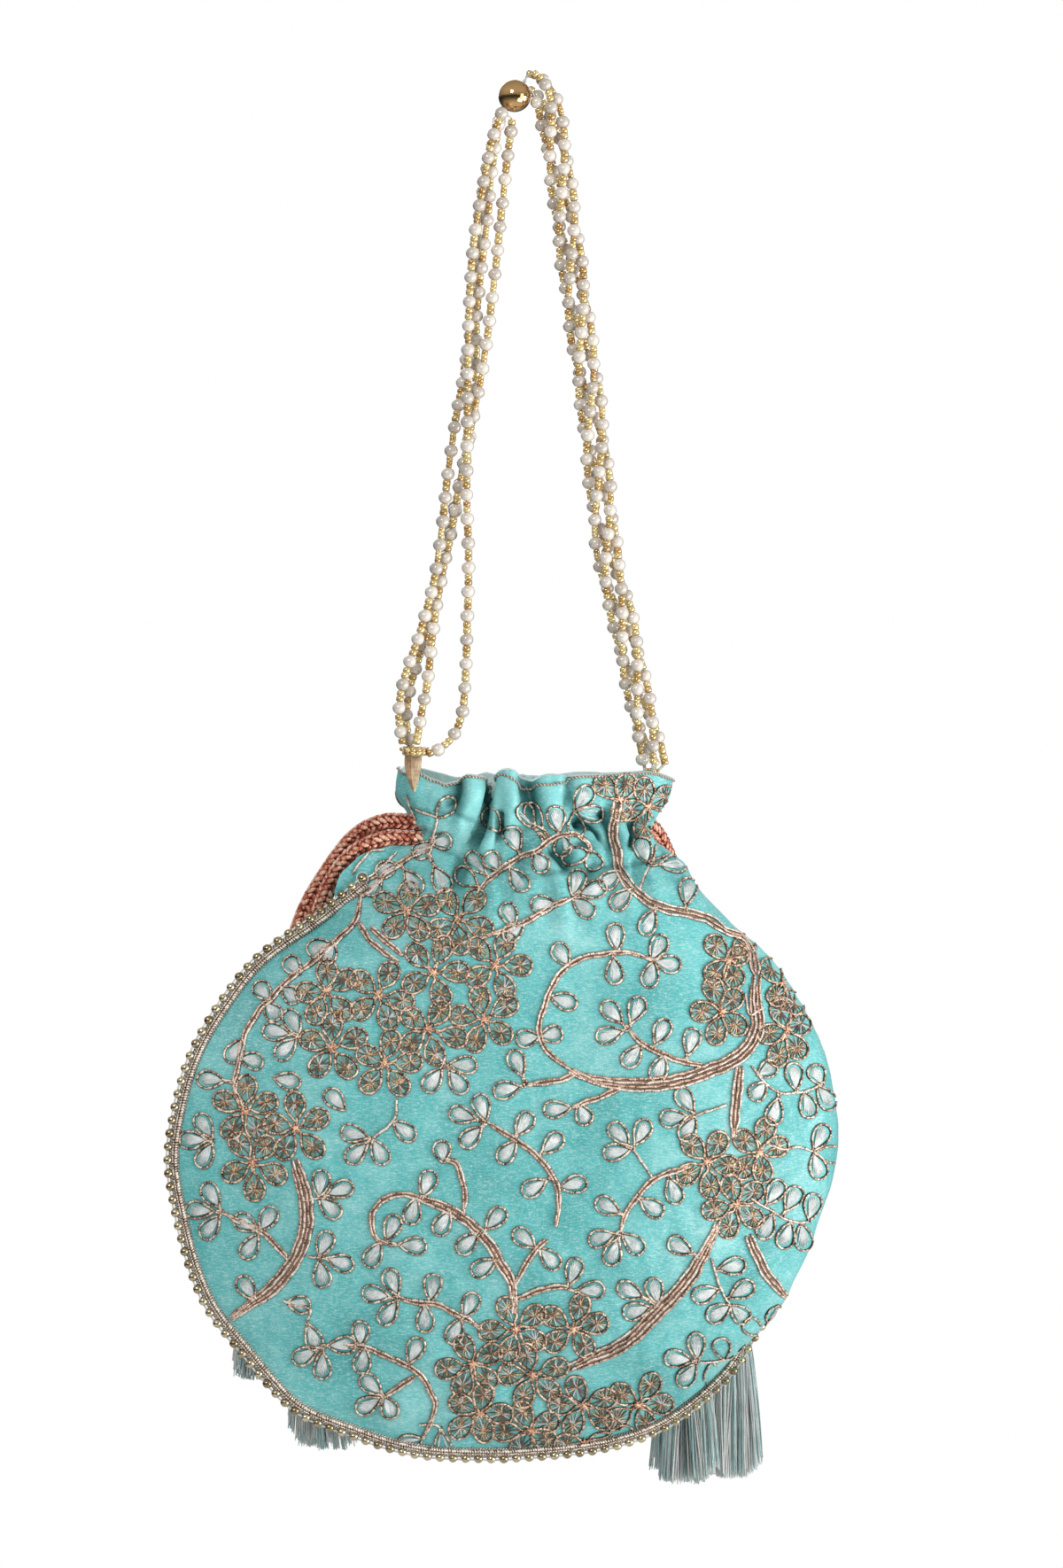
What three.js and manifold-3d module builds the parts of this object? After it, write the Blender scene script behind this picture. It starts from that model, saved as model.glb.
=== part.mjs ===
// Drawstring reticule hung by its beaded handle. Millimetres, +Z up.
// Origin: the point under the handle's top where it hangs.
// +X runs along the pouch's width, the front half faces -Y, and the side seam lies in the plane y = 0.
import * as THREE from 'three';
import Module from 'manifold-3d';
import { mergeVertices } from 'three/addons/utils/BufferGeometryUtils.js';

const wasm = await Module();
wasm.setup();

// ---------- driving dimensions ----------
const CLOTH = 1.5; // padded, embroidered satin wall
const SEAM_GAP = 0.3; // between the two halves
const COLUMNS = 28; // facets across each half
const TAPE = { gap: 0.35, width: 1.6, thick: 1.0 };
const TRIM_BEAD = { radius: 1.35, offset: 3.75 };
const PEARL = { radius: 1.9, neck: 1.05, pitch: 7.35 };
const TOP_BEAD = { radius: 5, hole: 1.2, x: -3.1, z: 4.2, tilt: 55 }; // tilt: of its thread above the horizontal
const THREAD_RADIUS = 0.6;
const CORD_DIAMETER = 4.5;
const TASSEL = { halfWidth: 10, halfDepth: 5.5, length: 68 };
const EXIT = { front: 2.7, back: 3.6, top: -214.5, bottom: -225.3 }; // slot in the channel at the left seam
const BACK_EXIT = { from: 30, near: 2.2, far: 10.2, top: -214.4, bottom: -225.6 }; // slot in the channel behind the right seam
const BUNDLE = { radius: 3.25, pitch: 88, strands: 4 }; // right run of the handle: strands twisted round one centre line
const TASSEL_SIDES = 14;

const table = (columns, rows) => rows.map((r) => Object.fromEntries(columns.map((c, i) => [c, r[i]])));

// Horizontal sections of the pouch, mouth to bottom. Each half is one cubic curve from the left seam to the
// right seam: depth is the pull of a control point away from the seam plane, lean its shift along the chord.
const SECTIONS = table(
  ['z', 'left', 'right', 'frontDepthL', 'frontDepthR', 'frontLeanL', 'frontLeanR', 'backDepthL', 'backDepthR', 'backLeanL', 'backLeanR'],
  [
    [-202.0, -39.1, 47.1, 22, 22, 0, 0, 22, 22, 0, 0],
    [-209.0, -39.7, 45.4, 23, 23, 0, 0, 23, 23, 0, 0],
    [-216.3, -35.5, 41.7, 21, 21, 0, 0, 21, 21, 0, 0],
    [-221.7, -31.9, 40.3, 20, 20, 0, 0, 20, 20, -0.06, 0],
    [-227.9, -36.3, 47.8, 22, 24, 0.03, -0.03, 26, 26, -0.12, -0.02],
    [-236.5, -49.6, 52.0, 25, 34, 0.12, -0.14, 31, 30, -0.05, 0.06],
    [-247.3, -62.9, 60.3, 27, 41, 0.2, -0.15, 33, 33, 0.05, 0.1],
    [-259.5, -81.1, 73.6, 29, 44, 0.27, -0.14, 38, 38, 0.14, 0.14],
    [-273.2, -92.6, 83.2, 31, 50, 0.32, -0.12, 43, 43, 0.18, 0.18],
    [-287.8, -101.3, 90.0, 33, 55, 0.35, -0.11, 47, 47, 0.2, 0.2],
    [-303.2, -106.0, 93.3, 34, 58, 0.36, -0.105, 50, 50, 0.2, 0.2],
    [-318.3, -108.2, 94.2, 34, 59, 0.36, -0.105, 51, 51, 0.2, 0.2],
    [-333.7, -105.7, 90.2, 33, 58, 0.36, -0.105, 50, 50, 0.2, 0.2],
    [-348.6, -101.9, 84.7, 31, 54, 0.36, -0.11, 47, 47, 0.2, 0.2],
    [-362.1, -96.1, 78.4, 28, 47, 0.35, -0.12, 42, 42, 0.2, 0.2],
    [-374.2, -86.3, 70.8, 24, 38, 0.34, -0.1, 34, 34, 0.22, 0.22],
    [-384.5, -77.8, 64.0, 18, 28, 0.33, 0.06, 25, 25, 0.25, 0.25],
    [-393.1, -68.7, 54.3, 12.5, 18, 0.33, 0.18, 17, 17, 0.28, 0.28],
    [-399.6, -53.0, 44.4, 8, 10, 0.33, 0.25, 10, 10, 0.31, 0.31],
    [-403.9, -41.0, 32.7, 4.6, 5.6, 0.33, 0.3, 5.6, 5.6, 0.33, 0.33],
    [-406.6, -28.0, 17.7, 2, 2.3, 0.33, 0.33, 2.3, 2.3, 0.33, 0.33],
    [-407.8, -7.0, -7.0, 0, 0, 0.33, 0.33, 0, 0, 0.33, 0.33],
  ],
);
const TRIM_FROM = 5; // section where the tape and its beads begin

// Height of the wavy rim at shares of the way from the left seam to the right one.
const RIM = table(
  ['at', 'front', 'back'],
  [
    [0.0, -201.0, -201.0], [0.13, -202.5, -200.3], [0.22, -206.3, -201.5], [0.3, -203.0, -203.6], [0.35, -206.0, -204.1], [0.4, -202.8, -202.4],
    [0.45, -206.8, -204.1], [0.5, -205.7, -202.9], [0.54, -203.9, -203.6], [0.63, -203.0, -202.2], [0.75, -202.0, -202.5], [0.9, -202.5, -202.5], [1.0, -204.1, -204.1],
  ],
);

// Gathers of the mouth and channel: valleys pressed into the cloth along a slanting line.
const FOLDS = table(
  ['side', 'topX', 'topZ', 'lowX', 'lowZ', 'depth', 'width', 'reach'],
  [
    [-1, -15.4, -206, -23.0, -236, 4.6, 2.6, 14],
    [-1, -12.4, -211, -12.1, -233, 2.6, 1.9, 9],
    [-1, -3.2, -203, -4.8, -224, 2.2, 2.4, 9],
    [-1, 10.8, -214, 21.0, -226, 2.4, 2.2, 8],
    [-1, 30.1, -216, 31.8, -228, 2.2, 2.2, 8],
    [-1, -29.0, -203, -27.6, -216, 2.2, 2.2, 8],
    [1, -22.0, -203, -26.0, -232, 3.2, 2.4, 14],
    [1, -9.0, -203, -10.0, -236, 4.0, 2.4, 16],
    [1, 6.0, -203, 7.5, -234, 3.4, 2.4, 14],
    [1, 20.0, -203, 23.0, -236, 3.8, 2.4, 14],
    [1, 33.0, -205, 37.0, -230, 2.4, 2.2, 9],
  ],
);

// ---------- helpers ----------
const lerp = (a, b, f) => a + (b - a) * f;
function along(rows, key, t) { // Catmull-Rom through one column of a table
  const n = rows.length - 1;
  const i = Math.min(Math.floor(Math.max(t, 0)), n - 1), f = Math.min(Math.max(t, 0), n) - i;
  const b = rows[i][key], c = rows[i + 1][key];
  const a = i > 0 ? rows[i - 1][key] : 2 * b - c, d = i + 2 <= n ? rows[i + 2][key] : 2 * c - b;
  return 0.5 * (2 * b + (c - a) * f + (2 * a - 5 * b + 4 * c - d) * f * f + (3 * b - a - 3 * c + d) * f ** 3);
}
function piecewise(rows, key, value, out) { // straight lines between the rows of a table
  let i = 0;
  while (i < rows.length - 2 && rows[i + 1][key] < value) i++;
  const f = Math.min(1, Math.max(0, (value - rows[i][key]) / (rows[i + 1][key] - rows[i][key])));
  return lerp(rows[i][out], rows[i + 1][out], f);
}
function bodyFromRings(rings) { // closed body from rings with equal counts; a one-point ring closes an end
  const position = [], index = [], start = [];
  for (const ring of rings) {
    start.push(position.length / 3);
    for (const p of ring) position.push(...p);
  }
  for (let k = 0; k + 1 < rings.length; k++) {
    const a = rings[k], b = rings[k + 1], n = Math.max(a.length, b.length);
    for (let j = 0; j < n; j++) {
      const j2 = (j + 1) % n;
      if (a.length > 1) index.push(start[k] + j, start[k] + j2, start[k + 1] + (b.length > 1 ? j2 : 0));
      if (b.length > 1) index.push(start[k] + (a.length > 1 ? j : 0), start[k + 1] + j2, start[k + 1] + j);
    }
  }
  const g = new THREE.BufferGeometry();
  g.setAttribute('position', new THREE.Float32BufferAttribute(position, 3));
  g.setIndex(index);
  return g;
}
function capped(rings) {
  const middle = (r) => [0, 1, 2].map((k) => r.reduce((s, p) => s + p[k], 0) / r.length);
  return bodyFromRings([[middle(rings[0])], ...rings, [middle(rings.at(-1))]]);
}
function volumeSign(g) {
  const p = g.attributes.position, ix = g.index.array, a = new THREE.Vector3(), b = new THREE.Vector3(), c = new THREE.Vector3();
  let v = 0;
  for (let i = 0; i < ix.length; i += 3) {
    a.fromBufferAttribute(p, ix[i]); b.fromBufferAttribute(p, ix[i + 1]); c.fromBufferAttribute(p, ix[i + 2]);
    v += a.dot(b.cross(c));
  }
  return Math.sign(v);
}
function outward(g) { // faces turned to point out
  if (volumeSign(g) < 0) {
    const ix = g.index.array;
    for (let i = 0; i < ix.length; i += 3) [ix[i + 1], ix[i + 2]] = [ix[i + 2], ix[i + 1]];
  }
  return g;
}
function solid(geometry) {
  let g = geometry.clone();
  g.deleteAttribute('normal');
  g.deleteAttribute('uv');
  g = outward(mergeVertices(g, 1e-4));
  return new wasm.Manifold(new wasm.Mesh({ numProp: 3, vertProperties: new Float32Array(g.attributes.position.array), triVerts: new Uint32Array(g.index.array) }));
}
function geometryOf(manifold) {
  const m = manifold.getMesh(), g = new THREE.BufferGeometry();
  g.setAttribute('position', new THREE.BufferAttribute(new Float32Array(m.vertProperties), 3));
  g.setIndex(new THREE.BufferAttribute(new Uint32Array(m.triVerts), 1));
  return g;
}
const box = (x0, x1, y0, y1, z0, z1) => new THREE.BoxGeometry(x1 - x0, y1 - y0, z1 - z0).translate((x0 + x1) / 2, (y0 + y1) / 2, (z0 + z1) / 2);

// ---------- pouch ----------
function heightAt(t, s, side) {
  const z = along(SECTIONS, 'z', t);
  if (t >= 2) return z;
  const rim = piecewise(RIM, 'at', s, side < 0 ? 'front' : 'back');
  return lerp(rim, SECTIONS[2].z, t / 2);
}
function foldAt(x, z, side) {
  let sum = 0;
  for (const f of FOLDS) {
    if (f.side !== side) continue;
    const share = (z - f.topZ) / (f.lowZ - f.topZ), cx = lerp(f.topX, f.lowX, share);
    const past = share > 1 ? (f.lowZ - z) / f.reach : share < 0 ? (z - f.topZ) / f.reach : 0;
    sum += f.depth * Math.max(0, 1 - past * past) * Math.exp(-((x - cx) ** 2) / (2 * f.width ** 2));
  }
  return sum;
}
function sectionRing(t, inset, columns) { // one closed ring: front from left to right, then back to the left
  const v = (key) => along(SECTIONS, key, t);
  const h = 0.05, dz = along(SECTIONS, 'z', t + h) - along(SECTIONS, 'z', t - h) || 1;
  const slope = (key) => (along(SECTIONS, key, t + h) - along(SECTIONS, key, t - h)) / dz;
  const grow = (key, most) => (inset ? Math.min(most, inset * 1.1 * Math.hypot(1, slope(key))) : 0);
  const left = v('left') + grow('left', 14), right = v('right') - grow('right', 14), chord = right - left;
  const ring = [];
  for (const side of [-1, 1]) {
    const n = side < 0 ? 'front' : 'back';
    const shrink = (key) => Math.max(0.4, v(key) - (inset ? (inset / 0.75) * Math.hypot(1, 0.75 * slope(key)) : 0));
    const yL = inset ? shrink(n + 'DepthL') : v(n + 'DepthL'), yR = inset ? shrink(n + 'DepthR') : v(n + 'DepthR');
    for (let j = 0; j < columns; j++) {
      const s = side < 0 ? j / columns : 1 - j / columns;
      const b = [(1 - s) ** 3, 3 * s * (1 - s) ** 2, 3 * s * s * (1 - s), s ** 3];
      const x = left * b[0] + (left + v(n + 'LeanL') * chord) * b[1] + (right - v(n + 'LeanR') * chord) * b[2] + right * b[3];
      const z = heightAt(t, s, side);
      const y = Math.max(0, yL * b[1] + yR * b[2] - foldAt(x, z, side) * Math.min(1, 4 * s * (1 - s) * 1.6));
      ring.push([x, side * y, z]);
    }
  }
  return ring;
}
const steps = (from, to, by) => Array.from({ length: Math.round((to - from) / by) + 1 }, (_, i) => from + i * by);
const OUTER_T = [...steps(0, 8, 0.5), ...steps(9, 13, 1), ...steps(14, 20, 0.5), 20.6];
const INNER_T = [...steps(0, 5, 0.5), ...steps(6, 19, 1)];
const bottom = SECTIONS.at(-1);
const outer = solid(bodyFromRings([
  [[3, 0, -203]],
  ...OUTER_T.map((t) => sectionRing(t, 0, COLUMNS)),
  [[bottom.left, 0, bottom.z]],
]));
const mouthRing = sectionRing(0, CLOTH, COLUMNS / 2);
const inner = solid(capped([mouthRing.map(([x, y]) => [x, y, -190]), ...INNER_T.map((t) => sectionRing(t, CLOTH, COLUMNS / 2))]));
const exits = solid(box(-60, -26, -EXIT.front, EXIT.back, EXIT.bottom, EXIT.top))
  .add(solid(box(BACK_EXIT.from, 60, BACK_EXIT.near, BACK_EXIT.far, BACK_EXIT.bottom, BACK_EXIT.top)));
const shell = outer.subtract(inner).subtract(exits);
const half = (side) => shell.intersect(solid(side < 0 ? box(-200, 200, -100, -SEAM_GAP / 2, -450, -150) : box(-200, 200, SEAM_GAP / 2, 100, -450, -150)));

// ---------- side seam trim ----------
const seamT = OUTER_T.filter((t) => t >= TRIM_FROM);
const seam = [
  ...seamT.map((t) => new THREE.Vector2(along(SECTIONS, 'left', t), along(SECTIONS, 'z', t))),
  new THREE.Vector2(bottom.left, bottom.z),
  ...seamT.slice().reverse().map((t) => new THREE.Vector2(along(SECTIONS, 'right', t), along(SECTIONS, 'z', t))),
];
function seamOffset(distance) {
  return seam.map((p, i) => {
    const a = seam[Math.max(i - 1, 0)], b = seam[Math.min(i + 1, seam.length - 1)];
    const before = new THREE.Vector2(p.x - a.x, p.y - a.y), after = new THREE.Vector2(b.x - p.x, b.y - p.y);
    if (i === 0) before.copy(after);
    if (i === seam.length - 1) after.copy(before);
    const n1 = new THREE.Vector2(before.y, -before.x).normalize(), n2 = new THREE.Vector2(after.y, -after.x).normalize();
    const m = n1.clone().add(n2).normalize();
    return p.clone().addScaledVector(m, distance / Math.max(0.5, m.dot(n1)));
  });
}
function tapeGeometry() {
  const near = seamOffset(TAPE.gap), far = seamOffset(TAPE.gap + TAPE.width), h = TAPE.thick / 2;
  return capped(near.map((p, i) => [[p.x, -h, p.y], [far[i].x, -h, far[i].y], [far[i].x, h, far[i].y], [p.x, h, p.y]]));
}
const disc = (radius, sides) => new THREE.Shape(Array.from({ length: sides }, (_, i) => new THREE.Vector2(radius * Math.cos((i * 2 * Math.PI) / sides), radius * Math.sin((i * 2 * Math.PI) / sides))));
const tube = (path, radius, sides, count) => new THREE.ExtrudeGeometry(disc(radius, sides), { extrudePath: path, steps: count, bevelEnabled: false });
const curve = (rows) => new THREE.CatmullRomCurve3(rows.map((p) => new THREE.Vector3(...p)));

// ---------- handle ----------
// Left run: the route of each strand from the top bead down to the mouth's left corner.
const ROUTE = ['x', 'y', 'z'];
const LEFT_STRANDS = {
  strand_left_1: table(ROUTE, [
    [-7.6, 3.2, -2.6], [-11.0, 3.6, -18.3], [-13.4, 3.9, -34.2], [-14.6, 4.3, -50.2], [-15.4, 5.3, -66.2], [-18.1, 4.7, -81.9], [-21.8, 1.1, -97.0],
    [-24.6, -1.0, -112.7], [-26.9, -2.8, -128.5], [-29.7, -4.1, -144.2], [-34.0, -3.9, -159.6], [-39.4, -4.5, -174.7], [-41.0, -5.4, -184.3], [-39.9, -6.2, -194.0],
  ]),
  strand_left_2: table(ROUTE, [
    [-7.9, -1.1, -1.4], [-10.4, -0.7, -17.4], [-12.0, -0.9, -33.5], [-13.9, -0.4, -49.5], [-15.0, 0.9, -65.6], [-14.8, 1.8, -81.7], [-16.1, 3.4, -97.8],
    [-19.2, 4.0, -113.7], [-22.8, 3.9, -129.4], [-26.5, 3.4, -145.2], [-30.8, 1.5, -160.6], [-36.2, -1.3, -175.6], [-37.9, -2.3, -185.3], [-36.7, -3.2, -195.0],
  ]),
  strand_left_3: table(ROUTE, [
    [-3.6, 1.8, -4.2], [-5.7, 1.1, -19.8], [-7.6, 0.4, -35.5], [-9.6, -0.5, -51.1], [-12.0, -2.3, -66.5], [-14.5, -2.7, -82.1], [-17.2, -0.9, -97.5],
    [-20.3, -0.3, -112.9], [-23.1, -0.5, -128.4], [-26.6, -0.8, -143.8], [-29.6, -2.5, -159.2], [-31.9, -4.7, -174.6], [-34.2, -6.5, -183.8], [-36.4, -8.8, -192.9],
  ]),
  strand_left_4: table(ROUTE, [
    [-11.0, -4.6, -4.9], [-14.2, -3.8, -23.6], [-17.1, -3.2, -42.4], [-18.4, -3.2, -61.4], [-19.0, -3.8, -80.3], [-19.4, -4.8, -99.3], [-19.5, -4.4, -118.3],
    [-18.7, -3.7, -137.3], [-19.4, -4.7, -156.2], [-20.6, -6.6, -175.1], [-21.8, -7.7, -183.9], [-25.0, -8.8, -191.0], [-29.4, -9.5, -194.8], [-34.0, -10.0, -196.6],
  ]),
};
// Right run: the centre line that four strands twist round.
const RIGHT_CENTRE = table(ROUTE, [
  [0.6, 0, 9.5], [3.9, 0, 7.7], [7.0, 0, 2.9], [9.8, 0, -9.5], [12.1, 0, -25.1], [15.2, 0, -48.3], [18.0, 0, -67.7], [20.3, 0, -83.1],
  [23.4, 0, -109.3], [27.1, 0, -139.1], [29.9, 0, -149.9], [32.2, 0, -159.1], [35.8, 0, -175.9], [39.5, 0, -191.4], [41.5, 0, -199.8],
]);
const points = (rows) => rows.map((r) => [r.x, r.y, r.z]);
const topBead = new THREE.Vector3(TOP_BEAD.x, 0, TOP_BEAD.z);
const threadAxis = new THREE.Vector3(Math.cos(THREE.MathUtils.degToRad(TOP_BEAD.tilt)), 0, Math.sin(THREE.MathUtils.degToRad(TOP_BEAD.tilt)));

function frameAt(tangent) { // two directions square to a route that runs near the seam plane
  const n1 = new THREE.Vector3(0, 1, 0).addScaledVector(tangent, -tangent.y).normalize();
  return [n1, new THREE.Vector3().crossVectors(tangent, n1)];
}
function pearlStrand(path) { // pearls joined along their thread: a ring at each pearl and one between
  const length = path.getLength(), count = Math.floor(length / PEARL.pitch), start = (length - (count - 1) * PEARL.pitch) / 2, rings = [];
  for (let k = -1; k < 2 * count; k++) {
    const at = Math.min(Math.max(start + (k * PEARL.pitch) / 2, 0), length) / length, pearl = k % 2 === 0;
    const p = path.getPointAt(at), [n1, n2] = frameAt(path.getTangentAt(at));
    if (p.distanceTo(topBead) < TOP_BEAD.radius + (pearl ? PEARL.radius : PEARL.neck) + 0.4) continue;
    rings.push([0, 1, 2, 3, 4, 5].map((i) => {
      const a = (i * Math.PI) / 3, r = pearl ? PEARL.radius : PEARL.neck;
      return p.clone().addScaledVector(n1, r * Math.cos(a)).addScaledVector(n2, r * Math.sin(a)).toArray();
    }));
  }
  return capped(rings);
}
function twistedRoute(strand) {
  const centre = curve(points(RIGHT_CENTRE)), length = centre.getLength(), n = 60, route = [];
  for (let i = 0; i <= n; i++) {
    const p = centre.getPointAt(i / n), [n1, n2] = frameAt(centre.getTangentAt(i / n));
    const a = (2 * Math.PI * length * i) / n / BUNDLE.pitch + ((strand + 0.5) * 2 * Math.PI) / BUNDLE.strands;
    route.push(p.addScaledVector(n1, BUNDLE.radius * Math.cos(a)).addScaledVector(n2, BUNDLE.radius * Math.sin(a)));
  }
  return new THREE.CatmullRomCurve3(route);
}
function topBeadGeometry() {
  const h = Math.sqrt(TOP_BEAD.radius ** 2 - TOP_BEAD.hole ** 2), a0 = Math.atan2(-h, TOP_BEAD.hole), a1 = -a0, profile = [];
  for (let i = 0; i <= 12; i++) {
    const a = lerp(a0, a1, i / 12);
    profile.push(new THREE.Vector2(TOP_BEAD.radius * Math.cos(a), TOP_BEAD.radius * Math.sin(a)));
  }
  return new THREE.LatheGeometry([...profile, profile[0].clone()], 20);
}

// ---------- thread tabs that tie the handle to the mouth ----------
const TAB_LEFT = table(['z', 'at', 'halfWidth', 'halfDepth'], [
  [-198.6, 0.1, 2.5, 1.2], [-201, 0.1, 2.8, 1.1], [-204, 0.11, 2.1, 0.9], [-208, 0.125, 1.2, 0.8],
]);
function tabLeft() {
  return capped(TAB_LEFT.map((r) => {
    const [at, near] = [0, 0.01].map((d) => {
      const s = r.at + d, chord = 85, rise = (k) => k.reduce((a, b) => a + b, 0);
      return new THREE.Vector2(-39.6 + chord * rise([3 * s * s * (1 - s), s ** 3]), -22.6 * rise([3 * s * (1 - s) ** 2, 3 * s * s * (1 - s)]));
    });
    const t = near.sub(at).normalize(), n = new THREE.Vector2(t.y, -t.x), c = at.clone().addScaledVector(n, r.halfDepth + 0.5);
    return Array.from({ length: 8 }, (_, i) => {
      const a = (i * Math.PI) / 4, p = c.clone().addScaledVector(t, r.halfWidth * Math.cos(a)).addScaledVector(n, r.halfDepth * Math.sin(a));
      return [p.x, p.y, r.z];
    });
  }));
}

// ---------- drawstring ends and tassels ----------
const CORDS = {
  cord_left_1: table(ROUTE, [
    [-30.2, 0, -217.2], [-36.5, 0.3, -217.0], [-42.3, 3.2, -216.8], [-47.2, 6.4, -218.6], [-51.4, 9.2, -221.9], [-55.0, 11.3, -226.6], [-58.6, 13.4, -232.4], [-62.3, 15.8, -239.0],
    [-65.6, 17.7, -246.8], [-67.9, 18.8, -255.0], [-69.5, 19.6, -263.6], [-71.2, 22.4, -274.3], [-72.4, 25.0, -285.6], [-73.2, 26.9, -297.1], [-73.8, 28.3, -308.7], [-74.0, 29.0, -320.3],
  ]),
  cord_left_2: table(ROUTE, [
    [-30.2, 0, -222.4], [-36.0, 0.0, -222.2], [-42.4, 1.2, -222.0], [-47.8, 2.4, -223.5], [-52.3, 3.8, -226.2], [-55.9, 5.2, -230.0], [-58.6, 7.3, -234.8], [-60.6, 10.8, -241.4],
    [-62.0, 17.0, -251.8], [-61.5, 23.0, -264.3], [-59.8, 27.7, -276.9], [-59.0, 31.0, -289.5], [-58.4, 33.2, -302.4], [-57.2, 34.6, -315.4], [-55.8, 35.0, -330.4], [-55.5, 35.0, -342.4],
  ]),
  cord_right_1: table(ROUTE, [
    [34, 1.4, -217.2], [37.2, 4.6, -217.2], [40.4, 7.8, -217.4], [43.8, 11.1, -218.6], [46.9, 13.7, -221.4], [49.7, 15.8, -225.6], [52.4, 17.4, -231], [55.8, 18.4, -238.2],
    [60.6, 19, -247.6], [66.4, 19.6, -259], [72.2, 20.6, -271.6], [76.8, 23, -287.6], [78.4, 26.6, -308], [77.6, 31, -330], [76.5, 33, -344], [76.4, 33, -354.8],
  ]),
  cord_right_2: table(ROUTE, [
    [33.4, 1.8, -222.5], [36.4, 5.1, -222.5], [39.2, 8.4, -222.8], [41.8, 11.8, -224.3], [43.9, 14.7, -227.6], [45.9, 17, -232.2], [48, 18.8, -238.6], [51, 20.4, -246.6],
    [54.8, 22.4, -256.8], [58.8, 25.2, -269.8], [62, 28.2, -286], [62.8, 30.4, -304], [61.8, 30.6, -322], [60.2, 28.2, -339], [59.5, 26.8, -348], [59.5, 26.8, -355.4],
  ]),
};
const TASSELS = {
  tassel_left_1: { cord: 'cord_left_1', turn: 26 },
  tassel_left_2: { cord: 'cord_left_2', turn: 14 },
  tassel_right_1: { cord: 'cord_right_1', turn: -16 },
  tassel_right_2: { cord: 'cord_right_2', turn: -16 },
};
const TASSEL_PROFILE = table(['below', 'share'], [
  [0.45, 0.28], [3, 0.42], [8, 0.43], [11, 0.34], [16, 0.5], [32, 0.76], [50, 0.92], [TASSEL.length, 1],
]);
function tassel(top, turn) {
  const c = Math.cos(THREE.MathUtils.degToRad(turn)), s = Math.sin(THREE.MathUtils.degToRad(turn));
  return capped(TASSEL_PROFILE.map((r) => Array.from({ length: TASSEL_SIDES }, (_, i) => {
    const a = (i * 2 * Math.PI) / TASSEL_SIDES, x = TASSEL.halfWidth * r.share * Math.cos(a), y = TASSEL.halfDepth * r.share * Math.sin(a);
    return [top.x + x * c - y * s, top.y + x * s + y * c, top.z - r.below];
  })));
}

// ---------- materials ----------
const material = (color, roughness, metalness = 0) => new THREE.MeshStandardMaterial({ color, roughness, metalness });
const satin = material(0x67c9c2, 0.45);
const trimTape = material(0xbdbab2, 0.8);
const trimMetal = material(0xb3a27c, 0.3, 1);
const pearl = material(0xe6e1d6, 0.25);
const gold = material(0xc99a43, 0.15, 1);
const thread = material(0xb59a6a, 0.6);
const cordYarn = material(0xbf6b4c, 0.55);
const tasselYarn = material(0x9cc4c2, 0.7);

// ---------- the object ----------
const reticule = new THREE.Group();
function add(name, geometry, mat) {
  const g = outward(mergeVertices(geometryWithoutShading(geometry), 1e-4));
  g.computeVertexNormals();
  const mesh = new THREE.Mesh(g, mat);
  mesh.name = name;
  reticule.add(mesh);
  return mesh;
}
function geometryWithoutShading(geometry) {
  const g = geometry.clone();
  g.deleteAttribute('normal');
  g.deleteAttribute('uv');
  return g;
}
add('front_panel', geometryOf(half(-1)), satin);
add('back_panel', geometryOf(half(1)), satin);
add('edge_tape', tapeGeometry(), trimTape);
add('edge_beads', tube(curve(seamOffset(TRIM_BEAD.offset).map((p) => [p.x, 0, p.y])), TRIM_BEAD.radius, 8, 80), trimMetal);
for (const [name, rows] of Object.entries(LEFT_STRANDS)) add(name, pearlStrand(curve(points(rows))), pearl);
for (let i = 0; i < BUNDLE.strands; i++) add(`strand_right_${i + 1}`, pearlStrand(twistedRoute(i)), pearl);
const bead = add('gold_bead', topBeadGeometry(), gold);
bead.quaternion.setFromUnitVectors(new THREE.Vector3(0, 1, 0), threadAxis);
bead.position.copy(topBead);
const inside = add('top_thread', new THREE.CylinderGeometry(THREAD_RADIUS, THREAD_RADIUS, 11.8, 8), thread);
inside.quaternion.copy(bead.quaternion);
inside.position.copy(topBead);
add('thread_tab_left', tabLeft(), thread);
add('thread_tab_right', box(36.6, 40.6, -1.8, 1.8, -211, -203.6), thread);
for (const [name, rows] of Object.entries(CORDS)) add(name, tube(curve(points(rows)), CORD_DIAMETER / 2, 8, 24), cordYarn);
for (const [name, t] of Object.entries(TASSELS)) add(name, tassel(CORDS[t.cord].at(-1), t.turn), tasselYarn);

export default reticule;
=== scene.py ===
# Visual model of the drawstring reticule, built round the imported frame.
# Lengths in this script are millimetres until a mesh is made; Z up, the front faces -Y.
import math

import bpy
import numpy as np
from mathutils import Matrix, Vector
from mathutils.bvhtree import BVHTree


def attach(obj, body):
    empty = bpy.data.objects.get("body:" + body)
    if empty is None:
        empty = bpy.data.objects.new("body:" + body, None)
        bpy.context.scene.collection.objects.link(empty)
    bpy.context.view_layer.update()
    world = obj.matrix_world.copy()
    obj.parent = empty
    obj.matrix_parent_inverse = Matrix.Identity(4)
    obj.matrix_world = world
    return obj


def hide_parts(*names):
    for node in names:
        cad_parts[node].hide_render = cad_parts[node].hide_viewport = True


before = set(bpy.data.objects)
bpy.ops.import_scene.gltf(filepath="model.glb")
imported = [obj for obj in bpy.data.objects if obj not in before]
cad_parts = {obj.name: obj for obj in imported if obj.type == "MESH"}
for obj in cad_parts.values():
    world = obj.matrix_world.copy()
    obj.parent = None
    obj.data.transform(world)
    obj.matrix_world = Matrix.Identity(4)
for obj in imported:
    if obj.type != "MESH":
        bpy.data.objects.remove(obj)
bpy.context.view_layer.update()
MM = 0.001
rng = np.random.RandomState(7)


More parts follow.
